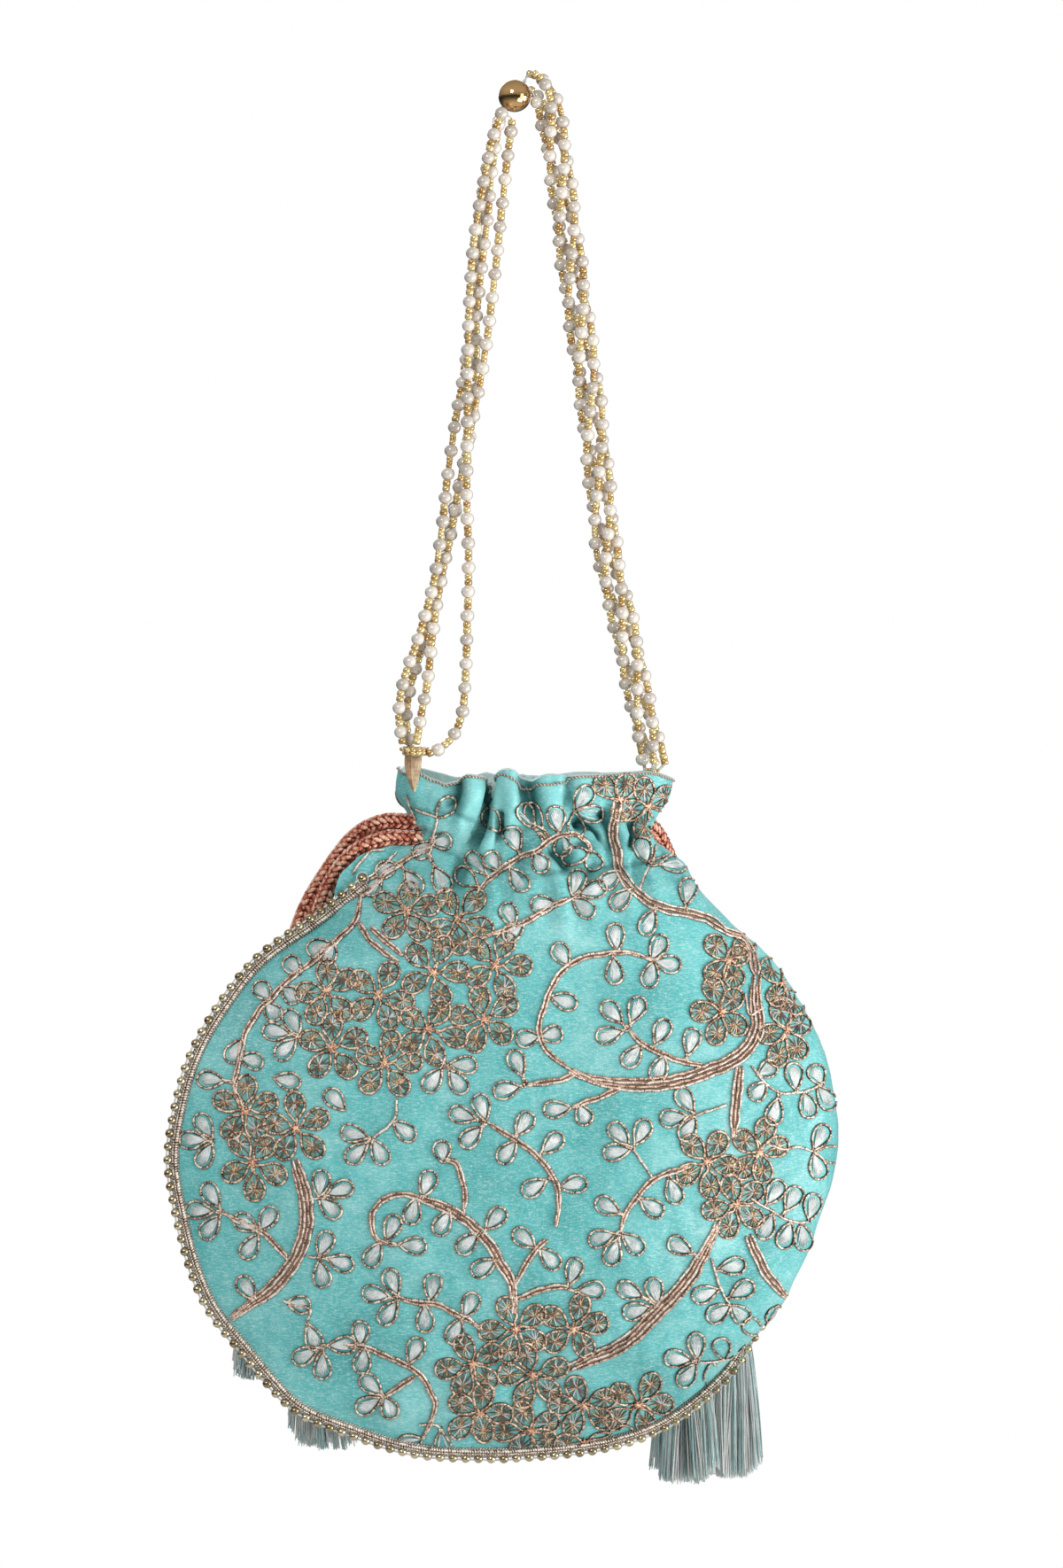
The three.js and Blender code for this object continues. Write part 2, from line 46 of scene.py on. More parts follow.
def norm(v):
    return v / np.maximum(np.linalg.norm(v, axis=-1, keepdims=True), 1e-9)


def smooth(a, b, x):
    f = np.clip((np.asarray(x, float) - a) / (b - a), 0, 1)
    return f * f * (3 - 2 * f)


# ---------- camera ----------
# The picture is 1200 by 1770; PIXEL is one picture unit in mm at the object, seen from 2 m away.
PIXEL, FAR, YAW = 0.27, 2000.0, math.radians(16)
ACROSS = np.array([math.cos(YAW), -math.sin(YAW), 0.0])
AWAY = np.array([math.sin(YAW), math.cos(YAW), 0.0])
EYE = 2.16 * ACROSS - FAR * AWAY + np.array([0, 0, -205.5])


def to_picture(p):
    """Picture units of points in the row's frame."""
    p = np.asarray(p, float)
    u, v = p @ ACROSS - 2.16, p @ AWAY
    scale = FAR / (FAR + v) / PIXEL
    return np.stack([600 + u * scale, 885 - (p[..., 2] + 205.5) * scale], -1)


def ray_through(px, py):
    """Unit direction from the eye through a picture point."""
    q = (2.16 + (px - 600) * PIXEL) * ACROSS + np.array([0, 0, -205.5 - (py - 885) * PIXEL])
    return norm(q - EYE)


camera = bpy.data.objects.new("camera", bpy.data.cameras.new("camera"))
bpy.context.scene.collection.objects.link(camera)
camera.data.sensor_fit = "VERTICAL"
camera.data.sensor_height = 36
camera.data.lens = 36 * FAR / (1770 * PIXEL)
camera.data.clip_end = 20
camera.location = Vector(EYE * MM)
camera.rotation_euler = (math.pi / 2, 0, -YAW)
bpy.context.scene.camera = camera


# ---------- mesh helpers ----------
class Heap:
    """Parts of one piece, gathered before its mesh is made."""

    def __init__(self):
        self.points, self.quads, self.tris, self.uvs4, self.uvs3, self.slots4, self.slots3, self.count = [], [], [], [], [], [], [], 0

    def add(self, points, quads=None, tris=None, uv4=None, uv3=None, slot=0):
        points = np.asarray(points, float).reshape(-1, 3)
        for faces, uvs, kept, kept_uv, kept_slot in ((quads, uv4, self.quads, self.uvs4, self.slots4), (tris, uv3, self.tris, self.uvs3, self.slots3)):
            if faces is None or not len(faces):
                continue
            faces = np.asarray(faces, int)
            kept.append(faces + self.count)
            kept_uv.append(np.zeros(faces.shape + (2,)) if uvs is None else np.asarray(uvs, float).reshape(faces.shape + (2,)))
            kept_slot.append(np.full(len(faces), slot, int))
        self.points.append(points)
        self.count += len(points)

    def make(self, name, materials, flat=False):
        quads = np.concatenate(self.quads) if self.quads else np.zeros((0, 4), int)
        tris = np.concatenate(self.tris) if self.tris else np.zeros((0, 3), int)
        mesh = bpy.data.meshes.new(name)
        points = np.concatenate(self.points) * MM
        mesh.vertices.add(len(points))
        mesh.vertices.foreach_set("co", points.ravel())
        loops = np.concatenate([quads.ravel(), tris.ravel()])
        mesh.loops.add(len(loops))
        mesh.loops.foreach_set("vertex_index", loops.astype(np.int32))
        mesh.polygons.add(len(quads) + len(tris))
        mesh.polygons.foreach_set("loop_start", np.concatenate([4 * np.arange(len(quads)), 4 * len(quads) + 3 * np.arange(len(tris))]).astype(np.int32))
        mesh.polygons.foreach_set("material_index", np.concatenate(self.slots4 + self.slots3).astype(np.int32))
        mesh.update(calc_edges=True)
        mesh.polygons.foreach_set("use_smooth", np.full(len(mesh.polygons), not flat))
        layer = mesh.uv_layers.new(name="UVMap")
        layer.data.foreach_set("uv", np.concatenate([u.reshape(-1, 2) for u in self.uvs4 + self.uvs3]).ravel())
        for m in materials:
            mesh.materials.append(m)
        obj = bpy.data.objects.new(name, mesh)
        bpy.context.scene.collection.objects.link(obj)
        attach(obj, "root")
        return obj


def grid_faces(rows, columns, closed_rows=False, closed_columns=False):
    i = np.arange(rows if closed_rows else rows - 1)[:, None]
    j = np.arange(columns if closed_columns else columns - 1)[None, :]
    i2, j2 = (i + 1) % rows, (j + 1) % columns
    return np.stack(np.broadcast_arrays(i * columns + j, i2 * columns + j, i2 * columns + j2, i * columns + j2), -1).reshape(-1, 4)


def tube(heap, path, normal, width, height, sides=5, lift=0.0, closed=False, slot=0, turn=0.5, start=0.0):
    """A thread of oval section; its UV is the length along it in mm and the share of the way round."""
    path = np.asarray(path, float)
    n = len(path)
    tangent = norm(np.roll(path, -1, 0) - np.roll(path, 1, 0)) if closed else norm(np.gradient(path, axis=0))
    side = norm(np.cross(tangent, np.broadcast_to(normal, path.shape)))
    up = np.cross(side, tangent)
    angle = 2 * np.pi * (np.arange(sides) + turn) / sides
    w, h = np.broadcast_to(width, (n,))[:, None] / 2, np.broadcast_to(height, (n,))[:, None] / 2
    ring = path[:, None] + side[:, None] * (w * np.cos(angle))[..., None] + up[:, None] * (h * np.sin(angle) + lift)[..., None]
    steps = np.linalg.norm(np.diff(np.vstack([path, path[:1]]) if closed else path, axis=0), axis=1)
    u = start + np.r_[0, np.cumsum(steps)]
    rows = n if closed else n - 1
    a, b = np.arange(rows)[:, None], np.arange(sides)[None, :]
    ua, ub, va, vb = np.broadcast_arrays(u[a], u[a + 1], b / sides, (b + 1) / sides)
    uv = np.stack([np.stack([ua, va], -1), np.stack([ub, va], -1), np.stack([ub, vb], -1), np.stack([ua, vb], -1)], -2)
    heap.add(ring, grid_faces(n, sides, closed, True), uv4=uv.reshape(-1, 4, 2), slot=slot)
    return u[-1]


def tapered(n, value, ends=0.25):
    w = np.full(n, float(value))
    w[0] *= ends
    w[-1] *= ends
    return w


def lathe_faces(rows, columns):
    return grid_faces(rows, columns, False, True)


def beads(heap, centres, axes, profile, columns, scale=None, slot=0, squash=None):
    """Turned bodies: profile is (along, radius) rows from one end to the other, shared by every bead."""
    centres, axes = np.asarray(centres, float), norm(np.asarray(axes, float))
    helper = np.where(np.abs(axes[:, 1:2]) < 0.9, np.array([[0, 1.0, 0]]), np.array([[1.0, 0, 0]]))
    e1 = norm(np.cross(axes, helper))
    e2 = np.cross(axes, e1)
    profile = np.asarray(profile, float)
    angle = 2 * np.pi * np.arange(columns) / columns
    faces = lathe_faces(len(profile), columns)
    scale = np.ones(len(centres)) if scale is None else scale
    for k in range(len(centres)):
        along_axis, radius = profile[:, 0] * scale[k], profile[:, 1] * scale[k]
        x, y = np.cos(angle), np.sin(angle) * (1 if squash is None else squash[k])
        ring = centres[k] + axes[k] * along_axis[:, None, None] + (e1[k] * x[:, None] + e2[k] * y[:, None])[None] * radius[:, None, None]
        tone = np.full((len(faces), 4, 2), 0.0)
        tone[..., 0], tone[..., 1] = rng.rand(), rng.rand()
        heap.add(ring, faces, uv4=tone, slot=slot)


def ball_profile(half_length, radius, rows, hole=0.0):
    a = np.linspace(0, np.pi, rows)
    return np.stack([-half_length * np.cos(a), np.maximum(radius * np.sin(a), hole)], -1)


# ---------- curves ----------
def spline(points, step, closed=False):
    """Centripetal Catmull-Rom curve through points, at even steps."""
    p = np.asarray(points, float)
    if len(p) == 2:
        n = max(2, int(round(np.linalg.norm(p[1] - p[0]) / step)) + 1)
        return np.linspace(p[0], p[1], n)
    p = np.vstack([p[-1:], p, p[:2]]) if closed else np.vstack([2 * p[0] - p[1], p, 2 * p[-1] - p[-2]])
    pieces = []
    for i in range(1, len(p) - 2):
        k = np.r_[0, np.cumsum(np.maximum(np.linalg.norm(np.diff(p[i - 1:i + 3], axis=0), axis=1), 1e-6) ** 0.5)]
        t = np.linspace(k[1], k[2], 17)[:-1, None]
        a = [(k[j + 1] - t) / (k[j + 1] - k[j]) * p[i - 1 + j] + (t - k[j]) / (k[j + 1] - k[j]) * p[i + j] for j in range(3)]
        b = [(k[j + 2] - t) / (k[j + 2] - k[j]) * a[j] + (t - k[j]) / (k[j + 2] - k[j]) * a[j + 1] for j in range(2)]
        pieces.append((k[2] - t) / (k[2] - k[1]) * b[0] + (t - k[1]) / (k[2] - k[1]) * b[1])
    dense = np.vstack(pieces + [p[-2:-1]])
    return evenly(dense, step)


def evenly(dense, step=None, count=None):
    length = np.r_[0, np.cumsum(np.linalg.norm(np.diff(dense, axis=0), axis=1))]
    n = count or max(2, int(round(length[-1] / step)) + 1)
    at = np.linspace(0, length[-1], n)
    return np.stack([np.interp(at, length, dense[:, k]) for k in range(dense.shape[1])], -1)


def route_length(p):
    return float(np.linalg.norm(np.diff(p, axis=0), axis=1).sum())


def carried_frames(path):
    """Two directions square to the path, carried along it without twisting."""
    t = norm(np.gradient(path, axis=0))
    n = np.zeros_like(t)
    first = np.array([0, 1.0, 0]) if abs(t[0, 1]) < 0.9 else np.array([1.0, 0, 0])
    n[0] = norm(first - t[0] * (first @ t[0]))
    for i in range(1, len(t)):
        n[i] = norm(n[i - 1] - t[i] * (n[i - 1] @ t[i]))
    return t, n, np.cross(t, n)


# ---------- shape tables shared with the CAD ----------
SECTION_KEYS = ["z", "left", "right", "frontDepthL", "frontDepthR", "frontLeanL", "frontLeanR", "backDepthL", "backDepthR", "backLeanL", "backLeanR"]
SECTIONS = np.array([
    [-202.0, -39.1, 47.1, 22, 22, 0, 0, 22, 22, 0, 0],
    [-209.0, -39.7, 45.4, 23, 23, 0, 0, 23, 23, 0, 0],
    [-216.3, -35.5, 41.7, 21, 21, 0, 0, 21, 21, 0, 0],
    [-221.7, -31.9, 40.3, 20, 20, 0, 0, 20, 20, -0.06, 0],
    [-227.9, -36.3, 47.8, 22, 24, 0.03, -0.03, 26, 26, -0.12, -0.02],
    [-236.5, -49.6, 52.0, 25, 34, 0.12, -0.14, 31, 30, -0.05, 0.06],
    [-247.3, -62.9, 60.3, 27, 41, 0.2, -0.15, 33, 33, 0.05, 0.1],
    [-259.5, -81.1, 73.6, 29, 44, 0.27, -0.14, 38, 38, 0.14, 0.14],
    [-273.2, -92.6, 83.2, 31, 50, 0.32, -0.12, 43, 43, 0.18, 0.18],
    [-287.8, -101.3, 90.0, 33, 55, 0.35, -0.11, 47, 47, 0.2, 0.2],
    [-303.2, -106.0, 93.3, 34, 58, 0.36, -0.105, 50, 50, 0.2, 0.2],
    [-318.3, -108.2, 94.2, 34, 59, 0.36, -0.105, 51, 51, 0.2, 0.2],
    [-333.7, -105.7, 90.2, 33, 58, 0.36, -0.105, 50, 50, 0.2, 0.2],
    [-348.6, -101.9, 84.7, 31, 54, 0.36, -0.11, 47, 47, 0.2, 0.2],
    [-362.1, -96.1, 78.4, 28, 47, 0.35, -0.12, 42, 42, 0.2, 0.2],
    [-374.2, -86.3, 70.8, 24, 38, 0.34, -0.1, 34, 34, 0.22, 0.22],
    [-384.5, -77.8, 64.0, 18, 28, 0.33, 0.06, 25, 25, 0.25, 0.25],
    [-393.1, -68.7, 54.3, 12.5, 18, 0.33, 0.18, 17, 17, 0.28, 0.28],
    [-399.6, -53.0, 44.4, 8, 10, 0.33, 0.25, 10, 10, 0.31, 0.31],
    [-403.9, -41.0, 32.7, 4.6, 5.6, 0.33, 0.3, 5.6, 5.6, 0.33, 0.33],
    [-406.6, -28.0, 17.7, 2, 2.3, 0.33, 0.33, 2.3, 2.3, 0.33, 0.33],
    [-407.8, -7.0, -7.0, 0, 0, 0.33, 0.33, 0, 0, 0.33, 0.33],
])
# share of the way from left to right, height at the front, height at the back
RIM = np.array([
    [0.0, -201.0, -201.0], [0.13, -202.5, -200.3], [0.22, -206.3, -201.5], [0.3, -203.0, -203.6], [0.35, -206.0, -204.1], [0.4, -202.8, -202.4],
    [0.45, -206.8, -204.1], [0.5, -205.7, -202.9], [0.54, -203.9, -203.6], [0.63, -203.0, -202.2], [0.75, -202.0, -202.5], [0.9, -202.5, -202.5], [1.0, -204.1, -204.1],
])
# side, topX, topZ, lowX, lowZ, depth, width, reach
FOLDS = np.array([
    [-1, -15.4, -206, -23.0, -236, 4.6, 2.6, 14], [-1, -12.4, -211, -12.1, -233, 2.6, 1.9, 9], [-1, -3.2, -203, -4.8, -224, 2.2, 2.4, 9],
    [-1, 10.8, -214, 21.0, -226, 2.4, 2.2, 8], [-1, 30.1, -216, 31.8, -228, 2.2, 2.2, 8], [-1, -29.0, -203, -27.6, -216, 2.2, 2.2, 8],
    [1, -22.0, -203, -26.0, -232, 3.2, 2.4, 14], [1, -9.0, -203, -10.0, -236, 4.0, 2.4, 16], [1, 6.0, -203, 7.5, -234, 3.4, 2.4, 14],
    [1, 20.0, -203, 23.0, -236, 3.8, 2.4, 14], [1, 33.0, -205, 37.0, -230, 2.4, 2.2, 9],
])
# Front rim as the picture shows it: x, y in picture units.
RIM_SEEN = np.array([
    [440, 871], [475, 873], [489, 881], [503, 887], [515, 881], [527, 875], [545, 878], [552, 886], [556, 881], [561, 873.5], [569, 869], [578, 869.5], [588, 876],
    [600, 882], [606, 880], [612, 876.5], [620, 875], [639, 876], [643, 876.5], [684, 874.5], [729, 871.5], [744, 873.5], [760, 880], [800, 884],
])


def along(key, t):
    v = SECTIONS[:, SECTION_KEYS.index(key)]
    n = len(v) - 1
    t = np.clip(np.asarray(t, float), 0, n)
    i = np.minimum(t.astype(int), n - 1)
    f = t - i
    b, c = v[i], v[i + 1]
    a = np.where(i > 0, v[np.maximum(i - 1, 0)], 2 * b - c)
    d = np.where(i + 2 <= n, v[np.minimum(i + 2, n)], 2 * c - b)
    return 0.5 * (2 * b + (c - a) * f + (2 * a - 5 * b + 4 * c - d) * f ** 2 + (3 * b - a - 3 * c + d) * f ** 3)


def fold_at(x, z, side):
    total = np.zeros(np.broadcast(x, z).shape)
    for row in FOLDS[FOLDS[:, 0] == side]:
        _, top_x, top_z, low_x, low_z, depth, width, reach = row
        share = (z - top_z) / (low_z - top_z)
        middle = top_x + (low_x - top_x) * share
        past = np.where(share > 1, (low_z - z) / reach, np.where(share < 0, (z - top_z) / reach, 0))
        total = total + depth * np.maximum(0, 1 - past ** 2) * np.exp(-((x - middle) ** 2) / (2 * width ** 2))
    return total


def surface(side, t, s, inset=0.0):
    """Points of one half of the pouch: t is the section, s the share of the way from the left seam to the right."""
    t, s = np.broadcast_arrays(np.asarray(t, float), np.asarray(s, float))
    h = 0.05
    dz = along("z", t + h) - along("z", t - h)
    dz = np.where(np.abs(dz) < 1e-9, 1, dz)

    def slope(key):
        return (along(key, t + h) - along(key, t - h)) / dz

    grow = (lambda key: np.minimum(14, inset * 1.1 * np.hypot(1, slope(key)))) if inset else (lambda key: 0)
    left, right = along("left", t) + grow("left"), along("right", t) - grow("right")
    chord = right - left
    name = "front" if side < 0 else "back"

    def depth(key):
        v = along(key, t)
        return np.maximum(0.4, v - inset / 0.75 * np.hypot(1, 0.75 * slope(key))) if inset else v

    b = [(1 - s) ** 3, 3 * s * (1 - s) ** 2, 3 * s * s * (1 - s), s ** 3]
    x = left * b[0] + (left + along(name + "LeanL", t) * chord) * b[1] + (right - along(name + "LeanR", t) * chord) * b[2] + right * b[3]
    rim = np.interp(s, RIM[:, 0], RIM[:, 1 if side < 0 else 2])
    z = np.where(t >= 2, along("z", t), rim + (SECTIONS[2, 0] - rim) * np.minimum(t, 2) / 2)
    y = np.maximum(0, depth(name + "DepthL") * b[1] + depth(name + "DepthR") * b[2] - fold_at(x, z, side) * np.minimum(1, 6.4 * s * (1 - s)))
    return np.stack([x, side * y, z], -1)


# ---------- drawstring ends ----------
CORDS = {
    "cord_left_1": [
        (-30.2, 0, -217.2), (-36.5, 0.3, -217.0), (-42.3, 3.2, -216.8), (-47.2, 6.4, -218.6), (-51.4, 9.2, -221.9), (-55.0, 11.3, -226.6), (-58.6, 13.4, -232.4), (-62.3, 15.8, -239.0),
        (-65.6, 17.7, -246.8), (-67.9, 18.8, -255.0), (-69.5, 19.6, -263.6), (-71.2, 22.4, -274.3), (-72.4, 25.0, -285.6), (-73.2, 26.9, -297.1), (-73.8, 28.3, -308.7), (-74.0, 29.0, -320.3),
    ],
    "cord_left_2": [
        (-30.2, 0, -222.4), (-36.0, 0.0, -222.2), (-42.4, 1.2, -222.0), (-47.8, 2.4, -223.5), (-52.3, 3.8, -226.2), (-55.9, 5.2, -230.0), (-58.6, 7.3, -234.8), (-60.6, 10.8, -241.4),
        (-62.0, 17.0, -251.8), (-61.5, 23.0, -264.3), (-59.8, 27.7, -276.9), (-59.0, 31.0, -289.5), (-58.4, 33.2, -302.4), (-57.2, 34.6, -315.4), (-55.8, 35.0, -330.4), (-55.5, 35.0, -342.4),
    ],
    "cord_right_1": [
        (34, 1.4, -217.2), (37.2, 4.6, -217.2), (40.4, 7.8, -217.4), (43.8, 11.1, -218.6), (46.9, 13.7, -221.4), (49.7, 15.8, -225.6), (52.4, 17.4, -231), (55.8, 18.4, -238.2),
        (60.6, 19, -247.6), (66.4, 19.6, -259), (72.2, 20.6, -271.6), (76.8, 23, -287.6), (78.4, 26.6, -308), (77.6, 31, -330), (76.5, 33, -344), (76.4, 33, -354.8),
    ],
    "cord_right_2": [
        (33.4, 1.8, -222.5), (36.4, 5.1, -222.5), (39.2, 8.4, -222.8), (41.8, 11.8, -224.3), (43.9, 14.7, -227.6), (45.9, 17, -232.2), (48, 18.8, -238.6), (51, 20.4, -246.6),
        (54.8, 22.4, -256.8), (58.8, 25.2, -269.8), (62, 28.2, -286), (62.8, 30.4, -304), (61.8, 30.6, -322), (60.2, 28.2, -339), (59.5, 26.8, -348), (59.5, 26.8, -355.4),
    ],
}
TASSEL_TURN = {"cord_left_1": 26, "cord_left_2": 14, "cord_right_1": -16, "cord_right_2": -16}
TASSEL_FLARE = {"cord_left_1": (-0.8, 0.2, 0.13), "cord_left_2": (2.4, 0.42, 0.22), "cord_right_1": (0.0, 0.1, 0.11), "cord_right_2": (0.0, 0.14, 0.11)}  # lower end: mm to the right, share wider, share shorter at its sides
TASSEL_PROFILE = np.array([[0.45, 0.28], [3, 0.42], [8, 0.43], [11, 0.34], [16, 0.5], [32, 0.76], [50, 0.92], [68, 1]])
TASSEL_HALF = (10.0, 5.5)


# ---------- materials ----------
def lin(r, g, b):
    """A colour given as it shows on screen, 0 to 255."""
    c = np.array([r, g, b]) / 255
    return tuple(np.where(c <= 0.04045, c / 12.92, ((c + 0.055) / 1.055) ** 2.4)) + (1.0,)


class Shader:
    def __init__(self, name, **sockets):
        self.material = bpy.data.materials.new(name)
        self.material.use_nodes = True
        self.tree = self.material.node_tree
        self.surface = next(n for n in self.tree.nodes if n.type == "BSDF_PRINCIPLED")
        for key, value in sockets.items():
            self.surface.inputs[key.replace("_", " ")].default_value = value

    def node(self, kind, out=0, **values):
        n = self.tree.nodes.new("ShaderNode" + kind)
        for key, value in values.items():
            if hasattr(n, key):
                setattr(n, key, value)
            else:
                socket = n.inputs[int(key[1:]) if key[0] == "i" and key[1:].isdigit() else key.replace("_", " ")]
                if isinstance(value, bpy.types.NodeSocket):
                    self.tree.links.new(value, socket)
                else:
                    socket.default_value = value
        return n.outputs[out]

    def place(self, scale=(1, 1, 1)):
        return self.node("Mapping", Vector=self.node("TexCoord", out=3), Scale=scale)

    def uv(self, scale=(1, 1, 1)):
        return self.node("Mapping", Vector=self.node("UVMap", uv_map="UVMap"), Scale=scale)

    def noise(self, vector, scale, detail=2.0, rough=0.5):
        return self.node("TexNoise", Vector=vector, Scale=scale, Detail=detail, Roughness=rough)

    def ramp(self, factor, *stops):
        n = self.tree.nodes.new("ShaderNodeValToRGB")
        self.tree.links.new(factor, n.inputs[0])
        n.color_ramp.elements[0].position, n.color_ramp.elements[0].color = stops[0]
        n.color_ramp.elements[1].position, n.color_ramp.elements[1].color = stops[-1]
        for at, colour in stops[1:-1]:
            n.color_ramp.elements.new(at).color = colour
        return n.outputs[0]

    def mix(self, factor, a, b, kind="MIX"):
        n = self.tree.nodes.new("ShaderNodeMix")
        n.data_type, n.blend_type = "RGBA", kind
        for value, socket in ((factor, n.inputs[0]), (a, n.inputs[6]), (b, n.inputs[7])):
            if isinstance(value, bpy.types.NodeSocket):
                self.tree.links.new(value, socket)
            else:
                socket.default_value = value
        return n.outputs[2]

    def math(self, operation, a, b=0.5, c=None):
        n = self.tree.nodes.new("ShaderNodeMath")
        n.operation = operation
        for value, socket in ((a, n.inputs[0]), (b, n.inputs[1]), (c, n.inputs[2])):
            if value is None:
                continue
            if isinstance(value, bpy.types.NodeSocket):
                self.tree.links.new(value, socket)
            else:
                socket.default_value = value
        return n.outputs[0]

    def range(self, value, low, high, to_low=0.0, to_high=1.0):
        return self.node("MapRange", Value=value, From_Min=low, From_Max=high, To_Min=to_low, To_Max=to_high)

    def bump(self, height, distance, strength=1.0, normal=None):
        values = dict(Height=height, Distance=distance, Strength=strength)
        if normal is not None:
            values["Normal"] = normal
        return self.node("Bump", **values)

    def set(self, **sockets):
        for key, value in sockets.items():
            self.tree.links.new(value, self.surface.inputs[key.replace("_", " ")])
        return self.material


def split(shader, vector):
    n = shader.tree.nodes.new("ShaderNodeSeparateXYZ")
    shader.tree.links.new(vector, n.inputs[0])
    return n.outputs


def satin_material(name, dark, middle, light, fleck, flecks=0.5):
    """Satin with soft cloudy sheen, short woven dashes and fine light flecks, painted shade deep in its creases and a
    painted highlight on the lobes beside them.
    """
    s = Shader(name, Roughness=0.4, Sheen_Weight=0.22, Sheen_Roughness=0.35, Sheen_Tint=(0.7, 1, 1, 1), Specular_IOR_Level=0.32)
    p = s.place()
    cloud, puckers = s.noise(p, 42, 3, 0.5), s.noise(p, 190, 2, 0.5)
    dashes = s.noise(s.place((0.42, 0.42, 1.9)), 1500, 2, 0.65)
    specks = s.noise(p, 2300, 1, 0.5)
    tone = s.ramp(s.mix(0.35, cloud, puckers), (0.28, dark), (0.5, middle), (0.72, light))
    tone = s.mix(s.range(dashes, 0.5, 0.74, 0.0, flecks), tone, fleck)
    tone = s.mix(s.range(specks, 0.56, 0.72, 0.0, flecks * 0.8), tone, fleck)
    tone = s.mix(s.range(dashes, 0.48, 0.3, 0.0, 0.32), tone, dark)
    painted_shade_highlight = split(s, s.uv())  # x: how much painted shade, deep in a crease; y: how much painted highlight, up on the lobes beside one
    # painted highlight on the lobes beside the creases
    tone = s.mix(s.range(painted_shade_highlight[1], 0.0, 1.0, 0.0, 0.5), tone, light)
    # painted shade deep in the creases, a dark teal
    tone = s.mix(s.range(painted_shade_highlight[0], 0.0, 1.0, 0.0, 0.95), tone, tuple(k * v for k, v in zip((0.05, 0.2, 0.2), dark[:3])) + (1,))
    bump = s.bump(s.noise(s.place((1.0, 1.0, 0.6)), 21, 1, 0.4), 0.012, 0.5)  # broad soft swells
    bump = s.bump(cloud, 0.0011, 0.3, bump)
    bump = s.bump(puckers, 0.0006, 0.4, bump)
    bump = s.bump(s.mix(0.4, dashes, specks), 0.00012, 0.45, bump)
    rough = s.range(dashes, 0.3, 0.7, 0.46, 0.34)
    return s.set(Base_Color=tone, Normal=bump, Roughness=rough)


def zari_material(name, bright, body, dark, metallic=0.3, rough=0.34, twist=0.05, base=0.32):
    """Couched metal thread: a painted highlight along its top in uneven dashes, painted shade at its sides."""
    s = Shader(name, Metallic=metallic, Roughness=rough)
    xyz = split(s, s.uv())
    # painted light: brighter on the thread's top, darker at its sides
    top = s.math("COSINE", s.math("MULTIPLY", s.math("SUBTRACT", xyz[1], 0.15), 2 * math.pi))
    dashes = s.noise(s.uv((0.5, 1.3, 1)), 1.0, 2, 0.6)
    flecks = s.noise(s.uv((2.1, 2.4, 1)), 1.0, 1, 0.5)
    plies = s.math("SINE", s.math("ADD", s.math("MULTIPLY", xyz[0], 2 * math.pi / 0.8), s.math("MULTIPLY", xyz[1], 2 * math.pi)))
    factor = s.math("MULTIPLY_ADD", top, 0.36, base)
    factor = s.math("ADD", factor, s.math("MULTIPLY_ADD", dashes, 1.7, -0.85))
    factor = s.math("ADD", factor, s.math("MULTIPLY_ADD", flecks, 1.0, -0.5))
    factor = s.math("ADD", factor, s.math("MULTIPLY", plies, twist))
    tone = s.ramp(factor, (0.26, dark), (0.5, body), (0.8, bright))
    return s.set(Base_Color=tone, Normal=s.bump(factor, 0.00025, 0.8))


def twisted_material(name, bright, body, dark, period=1.5, metallic=0.35, rough=0.34, plies=1.0):
    """Plied thread: colour and relief wind round it, with a painted highlight on each ply and painted shade between
    two.
    """
    s = Shader(name, Metallic=metallic, Roughness=rough)
    xyz = split(s, s.uv())
    turn = s.math("FRACT", s.math("ADD", s.math("MULTIPLY", xyz[0], 1 / period), s.math("MULTIPLY", xyz[1], plies)))
    wave = s.math("ABSOLUTE", s.math("SUBTRACT", turn, 0.5))  # 0 in the middle of a ply, 0.5 between two
    speck = s.noise(s.place(), 900, 2)
    # painted highlight in the middle of each ply, painted shade between two
    tone = s.ramp(wave, (0.0, bright), (0.22, body), (0.46, dark))
    tone = s.mix(s.range(speck, 0.35, 0.7, 0.0, 0.45), tone, dark)
    bump = s.bump(s.ramp(wave, (0.05, (1, 1, 1, 1)), (0.5, (0, 0, 0, 1))), 0.0004, 0.9)
    return s.set(Base_Color=tone, Normal=bump)


def thread_material(name, light, dark, rough=0.4, metallic=0.0, sheen=0.3, scale=(0.9, 3.0, 1)):
    """Untwisted silk or metal thread with fine fibres along it."""
    s = Shader(name, Roughness=rough, Metallic=metallic, Sheen_Weight=sheen)
    fibres = s.noise(s.uv(scale), 3.0, 3, 0.6)
    cloud = s.noise(s.place(), 260, 2)
    tone = s.ramp(s.mix(0.5, fibres, cloud), (0.36, dark), (0.62, light))
    return s.set(Base_Color=tone, Normal=s.bump(fibres, 0.0002, 0.6))


satin = satin_material("satin", lin(70, 169, 168), lin(99, 193, 192), lin(146, 216, 214), lin(222, 242, 240))
# a much lighter copy of the satin for the lining: painted light, so it shows bright in the shade inside the mouth
lightened_lining_satin = satin_material("lightened_lining_satin", lin(176, 218, 216), lin(198, 230, 228), lin(220, 240, 238), lin(246, 250, 248))
zari_peach = zari_material("zari_peach", lin(255, 242, 228), lin(204, 170, 149), lin(92, 64, 49))
zari_brown = zari_material("zari_brown", lin(246, 212, 188), lin(168, 128, 106), lin(70, 47, 36))
zari_edge = zari_material("zari_edge", lin(255, 238, 216), lin(156, 122, 97), lin(56, 38, 28), base=0.27)
zari_petal = zari_material("zari_petal", lin(252, 224, 196), lin(150, 112, 87), lin(54, 36, 26), base=0.26)
zari_star = zari_material("zari_star", lin(255, 216, 184), lin(204, 138, 104), lin(92, 54, 38))
